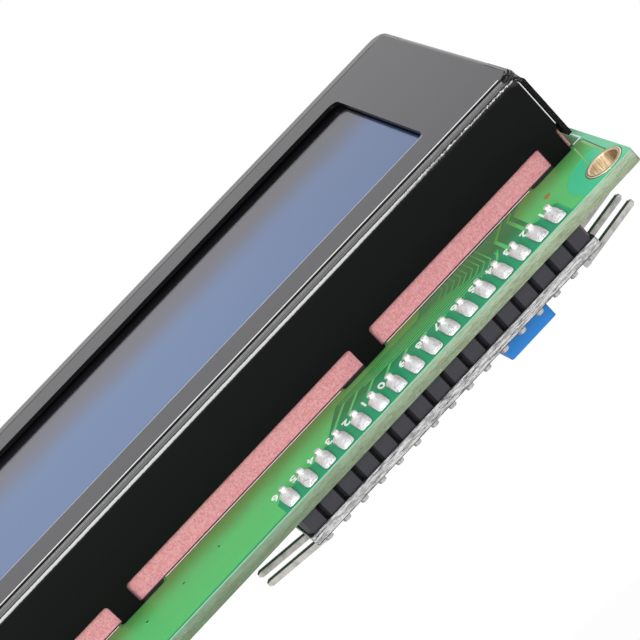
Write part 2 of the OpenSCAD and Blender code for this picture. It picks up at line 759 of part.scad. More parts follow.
// The dimple marks the chip's first lead
module port_chip() {
    dimple_in = 1.4;
    dimple_h = 0.1;
    color([0.12, 0.12, 0.13]) translate([chip_mid_x, chip_mid_y, adapter_back - chip_lift]) difference() {
        moulded_body(chip_l, chip_w, chip_h);
        translate([chip_l / 2 - dimple_in, chip_w / 2 - dimple_in, -chip_h - 1])
            cylinder(d = 1, h = 1 + dimple_h);
    }
}

// One gull-wing lead, from the body's flank at y = 0 out to y = reach
module lead(reach, height, w) {
    knee = reach * 0.35;
    bottom = -height - lead_t / 2;
    top = -height + lead_t / 2;
    translate([-w / 2, 0, 0]) rotate([90, 0, 90]) linear_extrude(w) polygon([
        [0, bottom], [knee + lead_t, bottom], [knee + lead_t * 1.6, -lead_t], [reach, -lead_t],
        [reach, 0], [knee + lead_t * 0.7, 0], [knee + lead_t * 0.2, top], [0, top]]);
}

module port_chip_leads() {
    color([0.8, 0.8, 0.8]) translate([chip_mid_x, chip_mid_y, adapter_back])
        for (s = [0, 1], i = [0 : 7]) rotate([0, 0, s * 180])
            translate([(i - 3.5) * chip_pitch, chip_w / 2, 0])
                lead(chip_span / 2 - chip_w / 2, chip_lift + chip_h / 2, lead_w);
}

module transistor() {
    color([0.12, 0.12, 0.13]) translate([transistor_x, transistor_y, adapter_back - transistor_lift])
        moulded_body(transistor_l, transistor_w, transistor_h);
}

// Two leads on one side and one on the other
module transistor_leads() {
    reach = 0.6;
    height = transistor_lift + transistor_h / 2;
    color([0.8, 0.8, 0.8]) translate([transistor_x, transistor_y, adapter_back]) {
        for (x = [-1, 1]) translate([x * transistor_pitch / 2, -transistor_w / 2, 0]) rotate([0, 0, 180])
            lead(reach, height, lead_w);
        translate([0, transistor_w / 2, 0]) lead(reach, height, lead_w);
    }
}

// Small parts on the adapter's back, placed from its end and from the pin row
module on_adapter(place) {
    translate([adapter_x0 + place[0], pin_y - place[1], adapter_back]) children();
}

module power_lamp() {
    color([0.9, 0.85, 0.8]) on_adapter(power_lamp_place) chip_part(small_l, small_w, thick_h);
}

module adapter_resistors() {
    color([0.15, 0.15, 0.16]) for (p = resistor_places) on_adapter(p) chip_part(small_l, small_w, small_h);
}

module adapter_capacitors() {
    color([0.7, 0.58, 0.42]) for (p = capacitor_places) on_adapter(p) chip_part(small_l, small_w, thick_h);
}

bezel();
front_film();
front_glass();
rear_glass();
rear_film();
contact_strip_pin_side();
contact_strip_far_side();
diffuser_sheet();
light_guide();
backlight_tray();
lamp_board();
backlight_lamps();
backlight_leads();
board();
hole_platings();
control_chip_drop();
driver_chip_drop_left();
driver_chip_drop_right();
board_resistors();
board_solder();
header_strip();
header_pins();
adapter_board();
adapter_solder();
bus_header_block();
bus_header_pins();
jumper_header_block();
jumper_header_pins();
trimmer_body();
trimmer_screw();
trimmer_pins();
port_chip();
port_chip_leads();
transistor();
transistor_leads();
power_lamp();
adapter_resistors();
adapter_capacitors();
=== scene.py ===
"""The looks of a character display module: glass behind a black folded bezel, a
green circuit board and the small adapter board that is soldered behind its pins."""
import math
import random

import bpy
from mathutils import Matrix, Vector


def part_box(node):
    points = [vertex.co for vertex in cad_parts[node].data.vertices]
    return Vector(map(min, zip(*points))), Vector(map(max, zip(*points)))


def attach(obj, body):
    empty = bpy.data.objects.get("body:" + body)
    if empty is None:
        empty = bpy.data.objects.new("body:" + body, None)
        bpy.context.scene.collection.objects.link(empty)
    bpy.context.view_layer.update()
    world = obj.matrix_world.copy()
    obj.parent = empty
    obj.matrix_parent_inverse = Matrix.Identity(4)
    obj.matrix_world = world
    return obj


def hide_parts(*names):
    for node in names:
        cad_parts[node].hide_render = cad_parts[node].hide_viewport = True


bl_info = {
    "name": "Character display module",
    "version": (1, 0, 0),
    "blender": (4, 5, 0),
    "location": "View3D > Sidebar > Display module",
    "description": "Dresses the packed display module with its finishes and fine pieces",
    "category": "Object",
}

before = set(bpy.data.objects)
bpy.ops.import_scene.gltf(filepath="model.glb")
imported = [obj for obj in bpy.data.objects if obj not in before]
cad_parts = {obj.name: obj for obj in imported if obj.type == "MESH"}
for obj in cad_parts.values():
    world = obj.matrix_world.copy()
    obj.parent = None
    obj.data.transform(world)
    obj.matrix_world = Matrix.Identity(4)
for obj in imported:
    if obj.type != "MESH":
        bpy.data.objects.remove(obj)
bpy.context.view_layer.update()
MM = 0.001


def node_box(name):
    """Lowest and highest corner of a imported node, in millimetres."""
    low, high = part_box(name)
    return [v * 1000 for v in low], [v * 1000 for v in high]


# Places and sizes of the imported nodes, in millimetres

BOARD = node_box("board")
PINS = node_box("header_pins")
LEADS = node_box("backlight_leads")
LEAD_HALF = 0.32
PIN_COUNT = 16
PITCH = 2.54
PIN_Y = (PINS[0][1] + PINS[1][1]) / 2
PIN_X0 = (PINS[0][0] + PINS[1][0]) / 2 - (PIN_COUNT - 1) * PITCH / 2
HOLE_X, HOLE_Y = 46.5, 27.5
BOARD_T = BOARD[1][2] - BOARD[0][2]
BEZEL_X, BEZEL_Y, FACE_Z = 48.05, 19.25, node_box("bezel")[1][2]
FOLD_Y = BEZEL_Y - 0.8
INNER_END_X, INNER_WALL_Y = 47.5, 18.6
SEAM_X = 47.4
NOTCH_Z = 3.1
WINDOW_X, WINDOW_Y = 37.8, 13.4
PACKED_WINDOW_R = 0.5
ADAPTER_MID_Z = -4.7

# Thickness of what lies on the main board, in millimetres

COPPER = 0.03
INK = 0.045

# Pattern of the main board, in millimetres, seen from its front

EDGE_X, EDGE_Y = 48.0, 29.65
HALO_R = 4.5
BACK_HALO_R = 3.2
WALL_FOOT = 18.7
CORNER_SLOT = (40.8, 47.2)
MIDDLE_SLOT = (12.85, 19.45)
SLOT_TOP = 19.8
SLOT_Y = 19.0
BETWEEN_LEGS = ((-40.7, -19.55), (-12.75, 12.75), (19.55, 40.7))


def arc(cx, cy, radius, start, end, steps=14):
    """Points on a circle from one angle to another, in degrees."""
    turn = [math.radians(start + (end - start) * k / steps) for k in range(steps + 1)]
    return [(cx + radius * math.cos(a), cy + radius * math.sin(a)) for a in turn]


def halo(side_x, side_y, radius=HALO_R):
    """The copper's edge round a mounting hole, from the short edge to the long."""
    drop = math.degrees(math.asin((EDGE_X - HOLE_X) / radius))
    reach = math.degrees(math.asin((EDGE_Y - HOLE_Y) / radius))
    points = arc(HOLE_X, HOLE_Y, radius, -90 + drop, -180 - reach)
    return [(side_x * x, side_y * y) for x, y in points]


def foot_line(side_y, stops):
    """The copper's edge under a long wall: it steps back at each slot."""
    points = []
    for x0, x1 in stops:
        points += [(x0, WALL_FOOT), (x0, SLOT_TOP), (x1, SLOT_TOP), (x1, WALL_FOOT)]
    return [(x, side_y * y) for x, y in points]


SLOTS_ALONG = [(-CORNER_SLOT[1], -CORNER_SLOT[0]), (-MIDDLE_SLOT[1], -MIDDLE_SLOT[0]),
               MIDDLE_SLOT, CORNER_SLOT]
CORNER_POUR = (
    halo(-1, 1) + [(-40.6, EDGE_Y), (-40.6, 26.1), (-40.1, 25.6), (-37.9, 25.6), (-37.4, 25.1),
                   (-37.4, 20.5), (-39.0, 19.3), (-39.6, WALL_FOOT)]
    + foot_line(1, SLOTS_ALONG[:1])[::-1] + [(-EDGE_X, WALL_FOOT)])
MAIN_POUR = (
    [(-24.6, WALL_FOOT), (-23.2, 20.75), (-11.1, 20.75), (-7.9, 24.9), (-7.9, 25.7),
     (-5.9, 25.7), (-5.5, 26.2), (-4.6, 26.2), (-4.2, 25.8), (-2.9, 25.8), (-2.5, 26.4),
     (-0.3, 26.4), (0.27, 27.0), (0.27, EDGE_Y)]
    + halo(1, 1)[::-1] + [(EDGE_X, WALL_FOOT)] + foot_line(1, SLOTS_ALONG[1:])[::-1])
FAR_POUR = (halo(-1, -1)[::-1] + [(-EDGE_X, -WALL_FOOT)] + foot_line(-1, SLOTS_ALONG)
            + [(EDGE_X, -WALL_FOOT)] + halo(1, -1))
BUS_LEVELS = (24.75, 24.2, 23.7, 23.2, 22.75, 22.35, 21.95, 21.55, 21.1)
BUS_RISERS = (-32.3, -31.7, -31.1, -30.5, -29.8, -29.2, -28.5, -27.8, -27.2)
BUS_ENDS = (-24.3, -21.9, -19.9, -17.8, -15.6, -14.4, -13.6, -11.9, -11.4)
# Width, place along the row, top and foot of a straight start, and later points
WIDE_TRACKS = (
    (0.42, -36.66, 26.4, 20.4, (-37.55, 19.4), (-37.55, WALL_FOOT)),
    (0.42, -34.12, 26.4, 21.6, (-36.3, 19.4), (-36.3, WALL_FOOT)),
    (0.36, -31.58, 26.4, 25.7, (-32.7, 24.6), (-33.2, 23.6)),
    (0.36, -29.04, 26.4, 25.9, (-29.9, 25.1)),
    (0.36, -26.5, 26.4, 25.9, (-27.2, 25.2)),
    (0.36, -23.96, 26.6, 25.9, (-24.9, 24.75)),
    (0.36, -21.42, 26.6, 25.7, (-22.5, 24.2)),
    (0.4, -18.88, 26.6, 24.7, (-20.0, 23.7)),
    (0.4, -16.34, 26.6, 24.7, (-17.8, 23.2)),
    (0.4, -13.8, 26.6, 24.5, (-15.6, 22.75)),
    (0.4, -11.26, 26.6, 24.3, (-13.7, 21.95)),
    (0.4, -8.72, 26.6, 24.8, (-11.9, 21.55)),
)
THIN_TRACKS = ((0.2, ((-45.9, 24.7), (-46.9, 19.9))), (0.3, ((-48.0, 19.9), (-47.75, 25.6))))
THIN_GAP = ((-48.25, 19.5), (-47.98, 25.7))
VIAS = ((-33.2, 23.4), (-29.95, 25.05), (-27.3, 25.15), (7.0, 23.4), (12.0, 23.3), (17.2, 23.3),
        (31.0, 24.1), (38.4, 22.6))


# Shader maths

def math_node(operation, turned=False):
    """A method that adds a Math node, with its two values turned round if asked."""
    def method(self, other):
        values = (other, self) if turned else (self, other)
        return self.shade.add("Math", {"operation": operation}, *values)
    return method


class Sock:
    """A socket in a material, on which sums add Math nodes."""

    def __init__(self, shade, link):
        self.shade, self.link = shade, link

    def __abs__(self):
        return self.shade.add("Math", {"operation": "ABSOLUTE"}, self)

    __add__ = __radd__ = math_node("ADD")
    __sub__, __rsub__ = math_node("SUBTRACT"), math_node("SUBTRACT", turned=True)
    __mul__ = __rmul__ = math_node("MULTIPLY")
    __truediv__ = math_node("DIVIDE")
    most = math_node("MAXIMUM")


class Shade:
    """The nodes of a material or of the world, added in the order that they are named."""

    def __init__(self, name, owners="materials", output="OutputMaterial"):
        self.owner = getattr(bpy.data, owners).new(name)
        self.owner.use_nodes = True
        self.tree = self.owner.node_tree
        self.tree.nodes.clear()
        self.out = self.tree.nodes.new("ShaderNode" + output)

    def put(self, socket, value):
        """Links a socket or sets its value, of which a colour has three parts."""
        if isinstance(value, Sock):
            self.tree.links.new(value.link, socket)
        else:
            socket.default_value = (*value, 1) if socket.type == "RGBA" else value

    def add(self, kind, settings, *values, out=0, **named):
        """Adds a node: its settings first, then its sockets by order or by name."""
        node = self.tree.nodes.new("ShaderNode" + kind)
        for key, value in settings.items():
            if key == "stops":
                ramp = node.color_ramp
                while len(ramp.elements) < len(value):
                    ramp.elements.new(0.5)
                for element, (place, tone) in zip(ramp.elements, value):
                    element.position = place
                    element.color = (tone, tone, tone, 1)
            else:
                setattr(node, key, value)
        for socket, value in zip(node.inputs, values):
            self.put(socket, value)
        for key, value in named.items():
            self.put(node.inputs[key.replace("_", " ")], value)
        return Sock(self, node.outputs[out])

    def parts(self, vector):
        """The three parts of a vector."""
        split = self.tree.nodes.new("ShaderNodeSeparateXYZ")
        self.put(split.inputs[0], vector)
        return [Sock(self, socket) for socket in split.outputs]

    def stretched(self, vector, scale):
        return self.add("VectorMath", {"operation": "MULTIPLY"}, vector, scale)

    def place(self):
        """Object coordinates in millimetres."""
        return self.stretched(self.add("TexCoord", {}, out="Object"), (1000, 1000, 1000))

    def normal(self):
        """The three parts of the surface's direction, in the part's own frame."""
        return self.parts(self.add("TexCoord", {}, out="Normal"))

    def from_hole(self, x, y):
        """Distance from the middle of the nearest mounting hole."""
        place = self.add("CombineXYZ", {}, abs(x) - HOLE_X, abs(y) - HOLE_Y)
        return self.add("VectorMath", {"operation": "LENGTH"}, place, out="Value")

    def noise(self, vector, scale, detail=3, rough=0.6):
        return self.add("TexNoise", {}, Vector=vector, Scale=scale, Detail=detail,
                        Roughness=rough)

    def cells(self, vector, scale):
        return self.add("TexVoronoi", {}, Vector=vector, Scale=scale)

    def ray(self, kind):
        """1 for rays of one kind."""
        return self.add("LightPath", {}, out=f"Is {kind} Ray")

    def ease(self, value, low, high):
        """0 below low, 1 above high, smooth between. Low may be the larger."""
        return self.add("MapRange", {"interpolation_type": "SMOOTHSTEP"},
                        value, low, high, 0.0, 1.0)

    def within(self, value, middle, half, soft):
        """1 near a middle value, 0 away from it."""
        return self.ease(abs(value - middle), half + soft, half - soft)

    def mix(self, factor, a, b, blend="MIX"):
        node = self.tree.nodes.new("ShaderNodeMix")
        node.data_type = "RGBA"
        node.blend_type = blend
        for index, value in ((0, factor), (6, a), (7, b)):
            self.put(node.inputs[index], value)
        return Sock(self, node.outputs[2])

    def skin(self, colour, rough, height=None, depth=1.0, **more):
        """A shader with a bump, whose height of 1 stands for a depth in millimetres."""
        if height is not None:
            more["Normal"] = self.add("Bump", {}, Strength=1.0, Distance=depth * MM,
                                      Height=height)
        return self.add("BsdfPrincipled", {}, Base_Color=colour, Roughness=rough, **more)

    def surface(self, shader):
        self.put(self.out.inputs[0], shader)
        return self.owner

    def finish(self, *values, **more):
        return self.surface(self.skin(*values, **more))


def srgb(red, green, blue):
    """A colour written as 0 to 255, as the linear values that a shader takes."""
    return tuple((c / 12.92 if c <= 0.04045 else ((c + 0.055) / 1.055) ** 2.4)
                 for c in (red / 255, green / 255, blue / 255))


def scaled(colour, *gains):
    """A colour times one gain, or times a gain for each of its parts."""
    if len(gains) == 1:
        gains = gains * 3
    return tuple(c * gain for c, gain in zip(colour, gains))


# Tone of the enamel across the pin side's fold, from the face to the wall: a painted
# highlight line, fine grey lines of painted reflection, and a ragged painted highlight
# where the wall begins
FOLD_REFLECTION_TONES = (
    (0.0, 0.0055), (0.045, 0.0055), (0.06, 0.85), (0.1, 0.85), (0.115, 0.003), (0.255, 0.003),
    (0.27, 0.32), (0.3, 0.02), (0.33, 0.3), (0.37, 0.03), (0.41, 0.26), (0.45, 0.06),
    (0.49, 0.15), (0.57, 0.11), (0.62, 0.008), (0.67, 0.008), (0.69, 0.8), (0.75, 0.8),
    (0.77, 0.03), (0.97, 0.0055))
FOLD_START, FOLD_SPAN = 0.25, 1.7
FACE_TONE = (0.0062, 0.0055, 0.0115)
FAR_FOLD_Y = -17.25


def black_enamel(settings):
    """Gloss black paint on the folded sheet, with painted highlight and reflection lines along
    the fold, and rough where the sheet was cut."""
    s = Shade("black_enamel")
    vector = s.place()
    x, y, z = s.parts(vector)
    nz = s.normal()[2]
    upward = s.ease(nz, 0.5, 0.9)
    grain = s.noise(vector, 9, 4)
    fleck = s.cells(vector, 7)
    end_cut = (s.ease(abs(x), INNER_END_X, INNER_END_X + 0.06)
               * s.ease(abs(y), INNER_WALL_Y, INNER_WALL_Y + 0.1) * s.ease(z, 9.75, 9.6))
    seam_edge_highlight = (s.within(abs(x), SEAM_X - 0.05, 0.05, 0.03) * s.ease(abs(y), 18.9, 19.0)
                * s.ease(z, NOTCH_Z, NOTCH_Z + 0.2))
    dust = s.ease(s.noise(vector, 3.2, 5, 0.75), 0.7, 0.76) * upward
    colour = s.mix(s.ease(nz, 0.96, 0.99), settings.enamel, FACE_TONE)
    colour = s.mix(dust * 0.25, colour, (0.12, 0.12, 0.12))

    # How far round the pin side's fold a point lies, ragged on its lower half
    across = (y - FOLD_Y) * 0.375 + (FACE_Z - z) * 0.927
    ragged_highlight_edge = s.noise(s.stretched(vector, (1, 0.3, 0.3)), 6.5, 3, 0.8)
    lower = s.ease(across, 0.6, 0.85)
    whole = s.ease(x, -40, -24)
    across = across + (ragged_highlight_edge - 0.5) * lower * (0.55 - whole * 0.4)
    # Painted highlight and reflection lines across the fold, ragged and patchy on its lower
    # half
    tone = s.add("ValToRGB", {"stops": FOLD_REFLECTION_TONES}, (across + FOLD_START) / FOLD_SPAN)
    fold = (s.ease(y, 17.75, 17.8) * s.ease(z, 9.2, 9.25)
            * s.ease(abs(x) + lower * -0.9, 46.25, 46.0))
    patchy = s.ease(s.noise(s.stretched(vector, (1, 0.5, 0.5)), 2.3, 4, 0.7), 0.6, 0.42)
    tone = s.mix(lower * patchy * (0.75 - whole * 0.75), tone, (0.01, 0.01, 0.01))
    colour = s.mix(fold, colour, tone)
    # Painted highlight: a pale line low on the fold, towards +X
    lower_highlight_line = s.within(across, 1.02, 0.15, 0.04) * fold * whole
    colour = s.mix(lower_highlight_line * 0.9, colour, (0.6, 0.6, 0.6))
    # Bands of the fold turned dull, to darken the lines between the painted highlights
    dark_reflection_bands = (s.within(across, -0.19, 0.022, 0.015).most(s.within(across, 0.09, 0.14, 0.02))
                 * fold)

    # The window's rim with a painted highlight, the far fold painted lighter as a highlight,
    # the wall's end at the seam with a pale line that is partly bare edge and partly painted
    # highlight, and bare cuts
    # Painted highlight: a pale line along the window's edge on the pin side
    rim = (s.within(y, WINDOW_Y + 0.06, 0.05, 0.03) * s.ease(abs(x), 37.6, 37.4)
           * s.ease(z, 10.3, 10.4))
    colour = s.mix(rim, colour, (0.5, 0.56, 0.68))
    # A dull band along the far fold, to darken the line beside its painted highlight
    far_dull_band = s.within(y, FAR_FOLD_Y + 0.1, 0.1, 0.08) * upward * s.ease(abs(x), 46.4, 45.4)
    # Painted highlight: the far fold painted a lighter grey
    far_fold_highlight = s.ease(y, FAR_FOLD_Y, FAR_FOLD_Y - 0.15) * upward
    colour = s.mix(far_fold_highlight, colour, (0.08, 0.08, 0.085))
    # A pale line on the long wall's cut end at the seam: partly bare edge, partly painted
    # highlight
    colour = s.mix(seam_edge_highlight * s.ease(z, 10.2, 10.1), colour, (0.75, 0.75, 0.75))
    colour = s.mix(end_cut * s.ease(fleck, 0.2, 0.12), colour, (0.16, 0.16, 0.15))
    height = grain * 0.004 + end_cut * fleck * 0.06
    gloss = s.skin(colour, 0.13 + grain * 0.05 + end_cut * 0.22, height, IOR=1.45)
    dull = s.skin(colour, 0.3 + grain * 0.1, height, IOR=1.17)
    matt = s.ease(nz, 0.08, 0.02).most(far_dull_band).most(dark_reflection_bands)
    return s.surface(s.add("MixShader", {}, matt, gloss, dull))


def display_film(settings):
    """Dark polarising film whose skin throws back a bluish light, painted greyer to one side as
    a reflection.
    """
    s = Shade("display_film")
    vector = s.place()
    x, y, _ = s.parts(vector)
    cloud = s.noise(vector, 0.05, 2)
    # Painted reflection of the pale backdrop: greyer towards -Y, the grey lighter towards +X
    grey = s.ease(y + cloud * 5 - 2.5, -0.8, -9.5)
    dull = s.mix(s.ease(x, -50, 30), (0.069, 0.069, 0.085), (0.109, 0.107, 0.141))
    near = scaled(settings.film, 0.85, 0.89, 0.98)
    far = scaled(settings.film, 1.12, 1.18, 1.2)
    colour = s.mix(grey, s.mix(s.ease(x, -46, 4), near, far), dull)
    grain = s.noise(vector, 30, 2)
    return s.finish(colour, 0.11 + 0.05 * cloud, grain, 0.0006, Metallic=0.93)


def clear_glass():
    """Float glass, a little green."""
    s = Shade("float_glass")
    edge = s.noise(s.place(), 2, 3)
    colour = s.mix(edge, srgb(190, 214, 208), srgb(206, 226, 222))
    return s.finish(colour, 0.05 + edge * 0.04)


def sponge(settings):
    """Pink silicone sponge, full of small pores."""
    s = Shade("pink_sponge")
    vector = s.place()
    z = s.parts(vector)[2]
    flat = s.stretched(vector, (1.0, 1.0, 0.8))
    shifted = s.add("VectorMath", {"operation": "ADD"}, flat, (7.3, 1.9, 4.4))
    fine = s.noise(flat, 5.5, 4, 0.75)
    deep = s.ease(s.cells(flat, 3.1), 0.17, 0.06)
    light = s.ease(s.cells(shifted, 3.6), 0.2, 0.08)
    colour = s.mix(s.ease(fine, 0.38, 0.62), settings.sponge, srgb(232, 166, 170))
    colour = s.mix(light * 0.5, colour, srgb(250, 202, 204))
    colour = s.mix(deep * 0.7, colour, srgb(142, 78, 88))
    # Painted contact shadow: the strip darkened at its foot, where it stands on the board
    colour = s.mix(s.ease(z, 0.13, 0.07) * 0.9, colour, srgb(44, 26, 28))
    return s.finish(colour, 0.85, fine * 0.6 - deep, 0.03)


def board_core(s, vector, x, z):
    """Cut edge of glass-epoxy: runs of fibre along it, browner below, and darker at +X as
    painted shade.
    """
    run = s.noise(s.stretched(vector, (0.35, 0.35, 3.0)), 1.6, 4, 0.7)
    fine = s.noise(s.stretched(vector, (0.9, 0.9, 9)), 1.5, 3)
    streak = s.noise(s.stretched(vector, (0.55, 0.55, 10)), 2.4, 4, 0.7)
    # Painted shade: the edge darker towards +X
    far = s.ease(x, -45, 15)
    upper = s.mix(far, srgb(166, 188, 160), srgb(118, 144, 119))
    lower = s.mix(far, srgb(146, 161, 132), srgb(98, 122, 95))
    pale = s.mix(far, srgb(216, 226, 204), srgb(168, 190, 162))
    colour = s.mix(s.ease(z + run * 0.5, -0.2, -0.9), upper, lower)
    colour = s.mix(s.ease(run, 0.56, 0.36) * 0.45, colour, srgb(112, 108, 82))
    streaks = s.ease(streak, 0.54, 0.62) * s.ease(z, -0.25, -0.8)
    colour = s.mix(streaks * 0.7, colour, srgb(88, 84, 66))
    return s.mix(s.ease(fine, 0.56, 0.7) * 0.3, colour, pale)


# Gloss of the resist on the main board
RESIST_ROUGH, RESIST_IOR = 0.42, 1.38


def green_board(settings):
    """Bare laminate under green resist: the copper areas are pieces of their own."""
    s = Shade("green_board")
    vector = s.place()
    x, y, z = s.parts(vector)
    side = s.ease(abs(s.normal()[2]), 0.7, 0.5)
    inner = s.ease(abs(y), 20.4, 20.2) * s.ease(abs(x), EDGE_X, EDGE_X - 0.1)
    weave = s.add("TexBrick", {"offset": 0.5}, Vector=vector, Color1=(1, 1, 1),
                  Color2=(0.93, 0.93, 0.93), Mortar=(0.85, 0.85, 0.85), Scale=1.6,
                  Mortar_Size=0.03)
    from_hole = s.from_hole(x, y)
    # Painted light on the laminate: paler mint round each mounting hole as a painted
    # reflection, and darker green near the contact strips as painted shade
    base = s.mix(s.ease(from_hole, 4.6, 7.0), srgb(76, 198, 148), settings.laminate)
    shade_near_strip = s.ease(y, 25.6, 22.5) * s.ease(from_hole, 6, 9)
    base = s.mix(shade_near_strip, base, srgb(52, 122, 72))
    base = s.mix(s.ease(abs(x), EDGE_X, EDGE_X + 0.3), base, srgb(110, 200, 156))
    base = s.mix(0.35, base, s.mix(1.0, base, weave, "MULTIPLY"))
    base = s.mix(s.within(from_hole, 2.2, 0.08, 0.05), base, srgb(66, 52, 30))
    edge = board_core(s, vector, x, z)
    # Painted highlight: the top lip of the cut edge lighter
    edge = s.mix(s.ease(z, -0.2, -0.1) * 0.8, edge, srgb(142, 198, 164))
    # Painted shade: the walls of the slots for the bezel's legs near black
    edge = s.mix(inner * s.ease(abs(x), 46.9, 46.4) * 0.95, edge, (0.004, 0.006, 0.004))
    grain = s.noise(vector, 1.3, 3)
    return s.finish(s.mix(side, base, edge), RESIST_ROUGH + 0.28 * side, grain, 0.012,
                    IOR=RESIST_IOR)


def green_copper(settings):
    """Resist over copper: a lighter, yellower green with soft waves in it, darker near the
    contact strips as painted shade.
    """
    s = Shade("resist_over_copper")
    vector = s.place()
    _, y, z = s.parts(vector)
    wave = s.noise(vector, 0.35, 3)
    grain = s.noise(vector, 2.2, 3)
    colour = s.mix(wave, settings.resist, scaled(settings.resist, 1.12))
    # Painted shade: a darker, yellower green towards the contact strips, on the front
    copper_shade_near_strip = s.ease(abs(y) + wave * 1.2, 25.0, 19.8) * s.ease(z, -0.9, -0.7)
    colour = s.mix(copper_shade_near_strip, colour, srgb(82, 134, 62))
    return s.finish(colour, RESIST_ROUGH + 0.06 * wave, grain, 0.008, IOR=RESIST_IOR)


def bare_copper():
    """A spot of copper without resist, gone orange."""
    s = Shade("bare_copper")
    stain = s.noise(s.place(), 2.5, 4, 0.7)
    colour = s.mix(s.ease(stain, 0.4, 0.62), srgb(214, 128, 84), srgb(150, 140, 86))
    return s.finish(colour, 0.45 + 0.1 * stain, stain, 0.02, Metallic=0.4)


def board_ink():
    """White printing ink, a little uneven at its edges."""
    s = Shade("board_ink")
    thin = s.noise(s.place(), 4.5, 4, 0.7)
    colour = s.mix(s.ease(thin, 0.6, 0.75) * 0.35, srgb(244, 246, 242), srgb(186, 214, 190))
    return s.finish(colour, 0.5 + 0.1 * thin, thin, 0.004)


def plated_gold():
    """Flash of gold on copper: a pale rim with a painted dark line as shade, and a streaked
    barrel with painted highlights and painted shade.
    """
    s = Shade("plated_gold")
    vector = s.place()
    x, y, _ = s.parts(vector)
    nx, _, nz = s.normal()
    rim = s.ease(abs(nz), 0.3, 0.6)
    mark = s.noise(s.stretched(vector, (4.5, 4.5, 0.6)), 1.3, 4, 0.7)
    # Streaks in the plating, whose bright bands are painted highlights
    barrel = s.mix(s.ease(mark, 0.35, 0.65), srgb(208, 172, 122), srgb(255, 240, 204))
    # Painted shade: the barrel darker where its face looks towards +X
    barrel = s.mix(s.ease(nx, 0.2, 0.9) * 0.8, barrel, srgb(104, 70, 36))
    flat = s.mix(s.noise(vector, 2.2, 3), srgb(255, 246, 222), srgb(226, 204, 164))
    # Painted shade: a dark line drawn round the rim's top
    rim_shade_line = s.within(s.from_hole(x, y), 1.98, 0.045, 0.03)
    flat = s.mix(rim_shade_line * 0.9, flat, srgb(60, 40, 20))
    return s.finish(s.mix(rim, barrel, flat), 0.34 + 0.12 * mark, mark * (1 - rim), 0.02,
                    Metallic=0.6)


def bright_solder():
    """Tin solder that has set bright, with dull patches, painted shade on its +X sides and in
    thin folds, and a dark band at its foot.
    """
    s = Shade("bright_solder")
    vector = s.place()
    z = s.parts(vector)[2]
    nx, _, nz = s.normal()
    dull = s.noise(vector, 1.4, 4, 0.7)
    pit = s.cells(vector, 1.9)
    folds = s.noise(s.stretched(vector, (1, 1.6, 0.6)), 1.1, 4, 0.6)
    # Painted shade along thin folds, which also dent the surface slightly
    crease_shade = s.within(folds, 0.5, 0.008, 0.012)
    colour = s.mix(s.ease(dull, 0.52, 0.72) * 0.8, srgb(255, 254, 255), srgb(190, 184, 188))
    colour = s.mix(s.ease(pit, 0.16, 0.06) * 0.5, colour, srgb(96, 88, 92))
    # Painted shade: faces that look towards +X darker
    shaded_flank = s.ease(nx, 0.35, 0.9) * s.ease(abs(nz), 0.5, 0.1)
    colour = s.mix(shaded_flank * 0.8, colour, srgb(112, 108, 112))
    colour = s.mix(crease_shade * 0.6, colour, srgb(92, 84, 88))
    # A dark band at the joint's foot
    dark_foot = s.ease(abs(z - 0.03), 0.09, 0.04)
    colour = s.mix(dark_foot * 0.8, colour, srgb(58, 62, 56))
    colour = s.mix(s.ease(z, -4.6, -5.2) * 0.55, colour, srgb(120, 118, 116))
    height = dull * 0.05 + s.noise(vector, 4, 3) * 0.015 - crease_shade * 0.02
    return s.finish(colour, 0.28 + 0.2 * dull, height, Metallic=0.55)


def tinned_pin():
    """Tinned brass wire, drawn lengthwise, with its upward faces low down painted dark as shade
    and dark reflection.
    """
    s = Shade("tinned_pin")
    vector = s.place()
    z = s.parts(vector)[2]
    draw = s.noise(s.stretched(vector, (0.3, 6, 6)), 1.5, 3)
    cloud = s.noise(vector, 0.8, 3)
    colour = s.mix(s.ease(cloud, 0.4, 0.7), srgb(194, 192, 188), srgb(160, 158, 154))
    colour = s.mix(s.ease(draw, 0.6, 0.75) * 0.4, colour, srgb(126, 122, 116))
    # Painted shade and dark reflection: upward faces below z = -4 mm dark and less metallic
    shaded_top_faces = s.ease(s.normal()[2], 0.5, 0.8) * s.ease(z, -4.0, -4.2)
    colour = s.mix(shaded_top_faces * 0.9, colour, srgb(40, 40, 40))
    return s.finish(colour, 0.3 + 0.12 * cloud, draw, 0.006, Metallic=0.6 - 0.4 * shaded_top_faces)


def moulded(name, colour, rough, grain_size=3.0, depth=0.01):
    """Moulded plastic with a fine skin texture."""
    s = Shade(name)
    vector = s.place()
    grain = s.noise(vector, grain_size, 4)
    base = s.mix(s.noise(vector, 0.4, 2), colour, scaled(colour, 0.88))
    return s.finish(base, rough + 0.08 * grain, grain, depth)


def header_plastic(settings):
    """Dark grey plastic of a pin header, slightly scuffed on its faces."""
    s = Shade("header_plastic")
    vector = s.place()
    grain = s.noise(vector, 5, 4)
    scuff = s.ease(s.noise(s.stretched(vector, (1, 1, 4)), 2.4, 5, 0.8), 0.66, 0.74)
    colour = s.mix(s.noise(vector, 0.5, 3), settings.header, scaled(settings.header, 0.85))
    colour = s.mix(scuff * 0.3, colour, srgb(128, 128, 134))
    return s.finish(colour, 0.42 + 0.1 * grain, grain, 0.01)


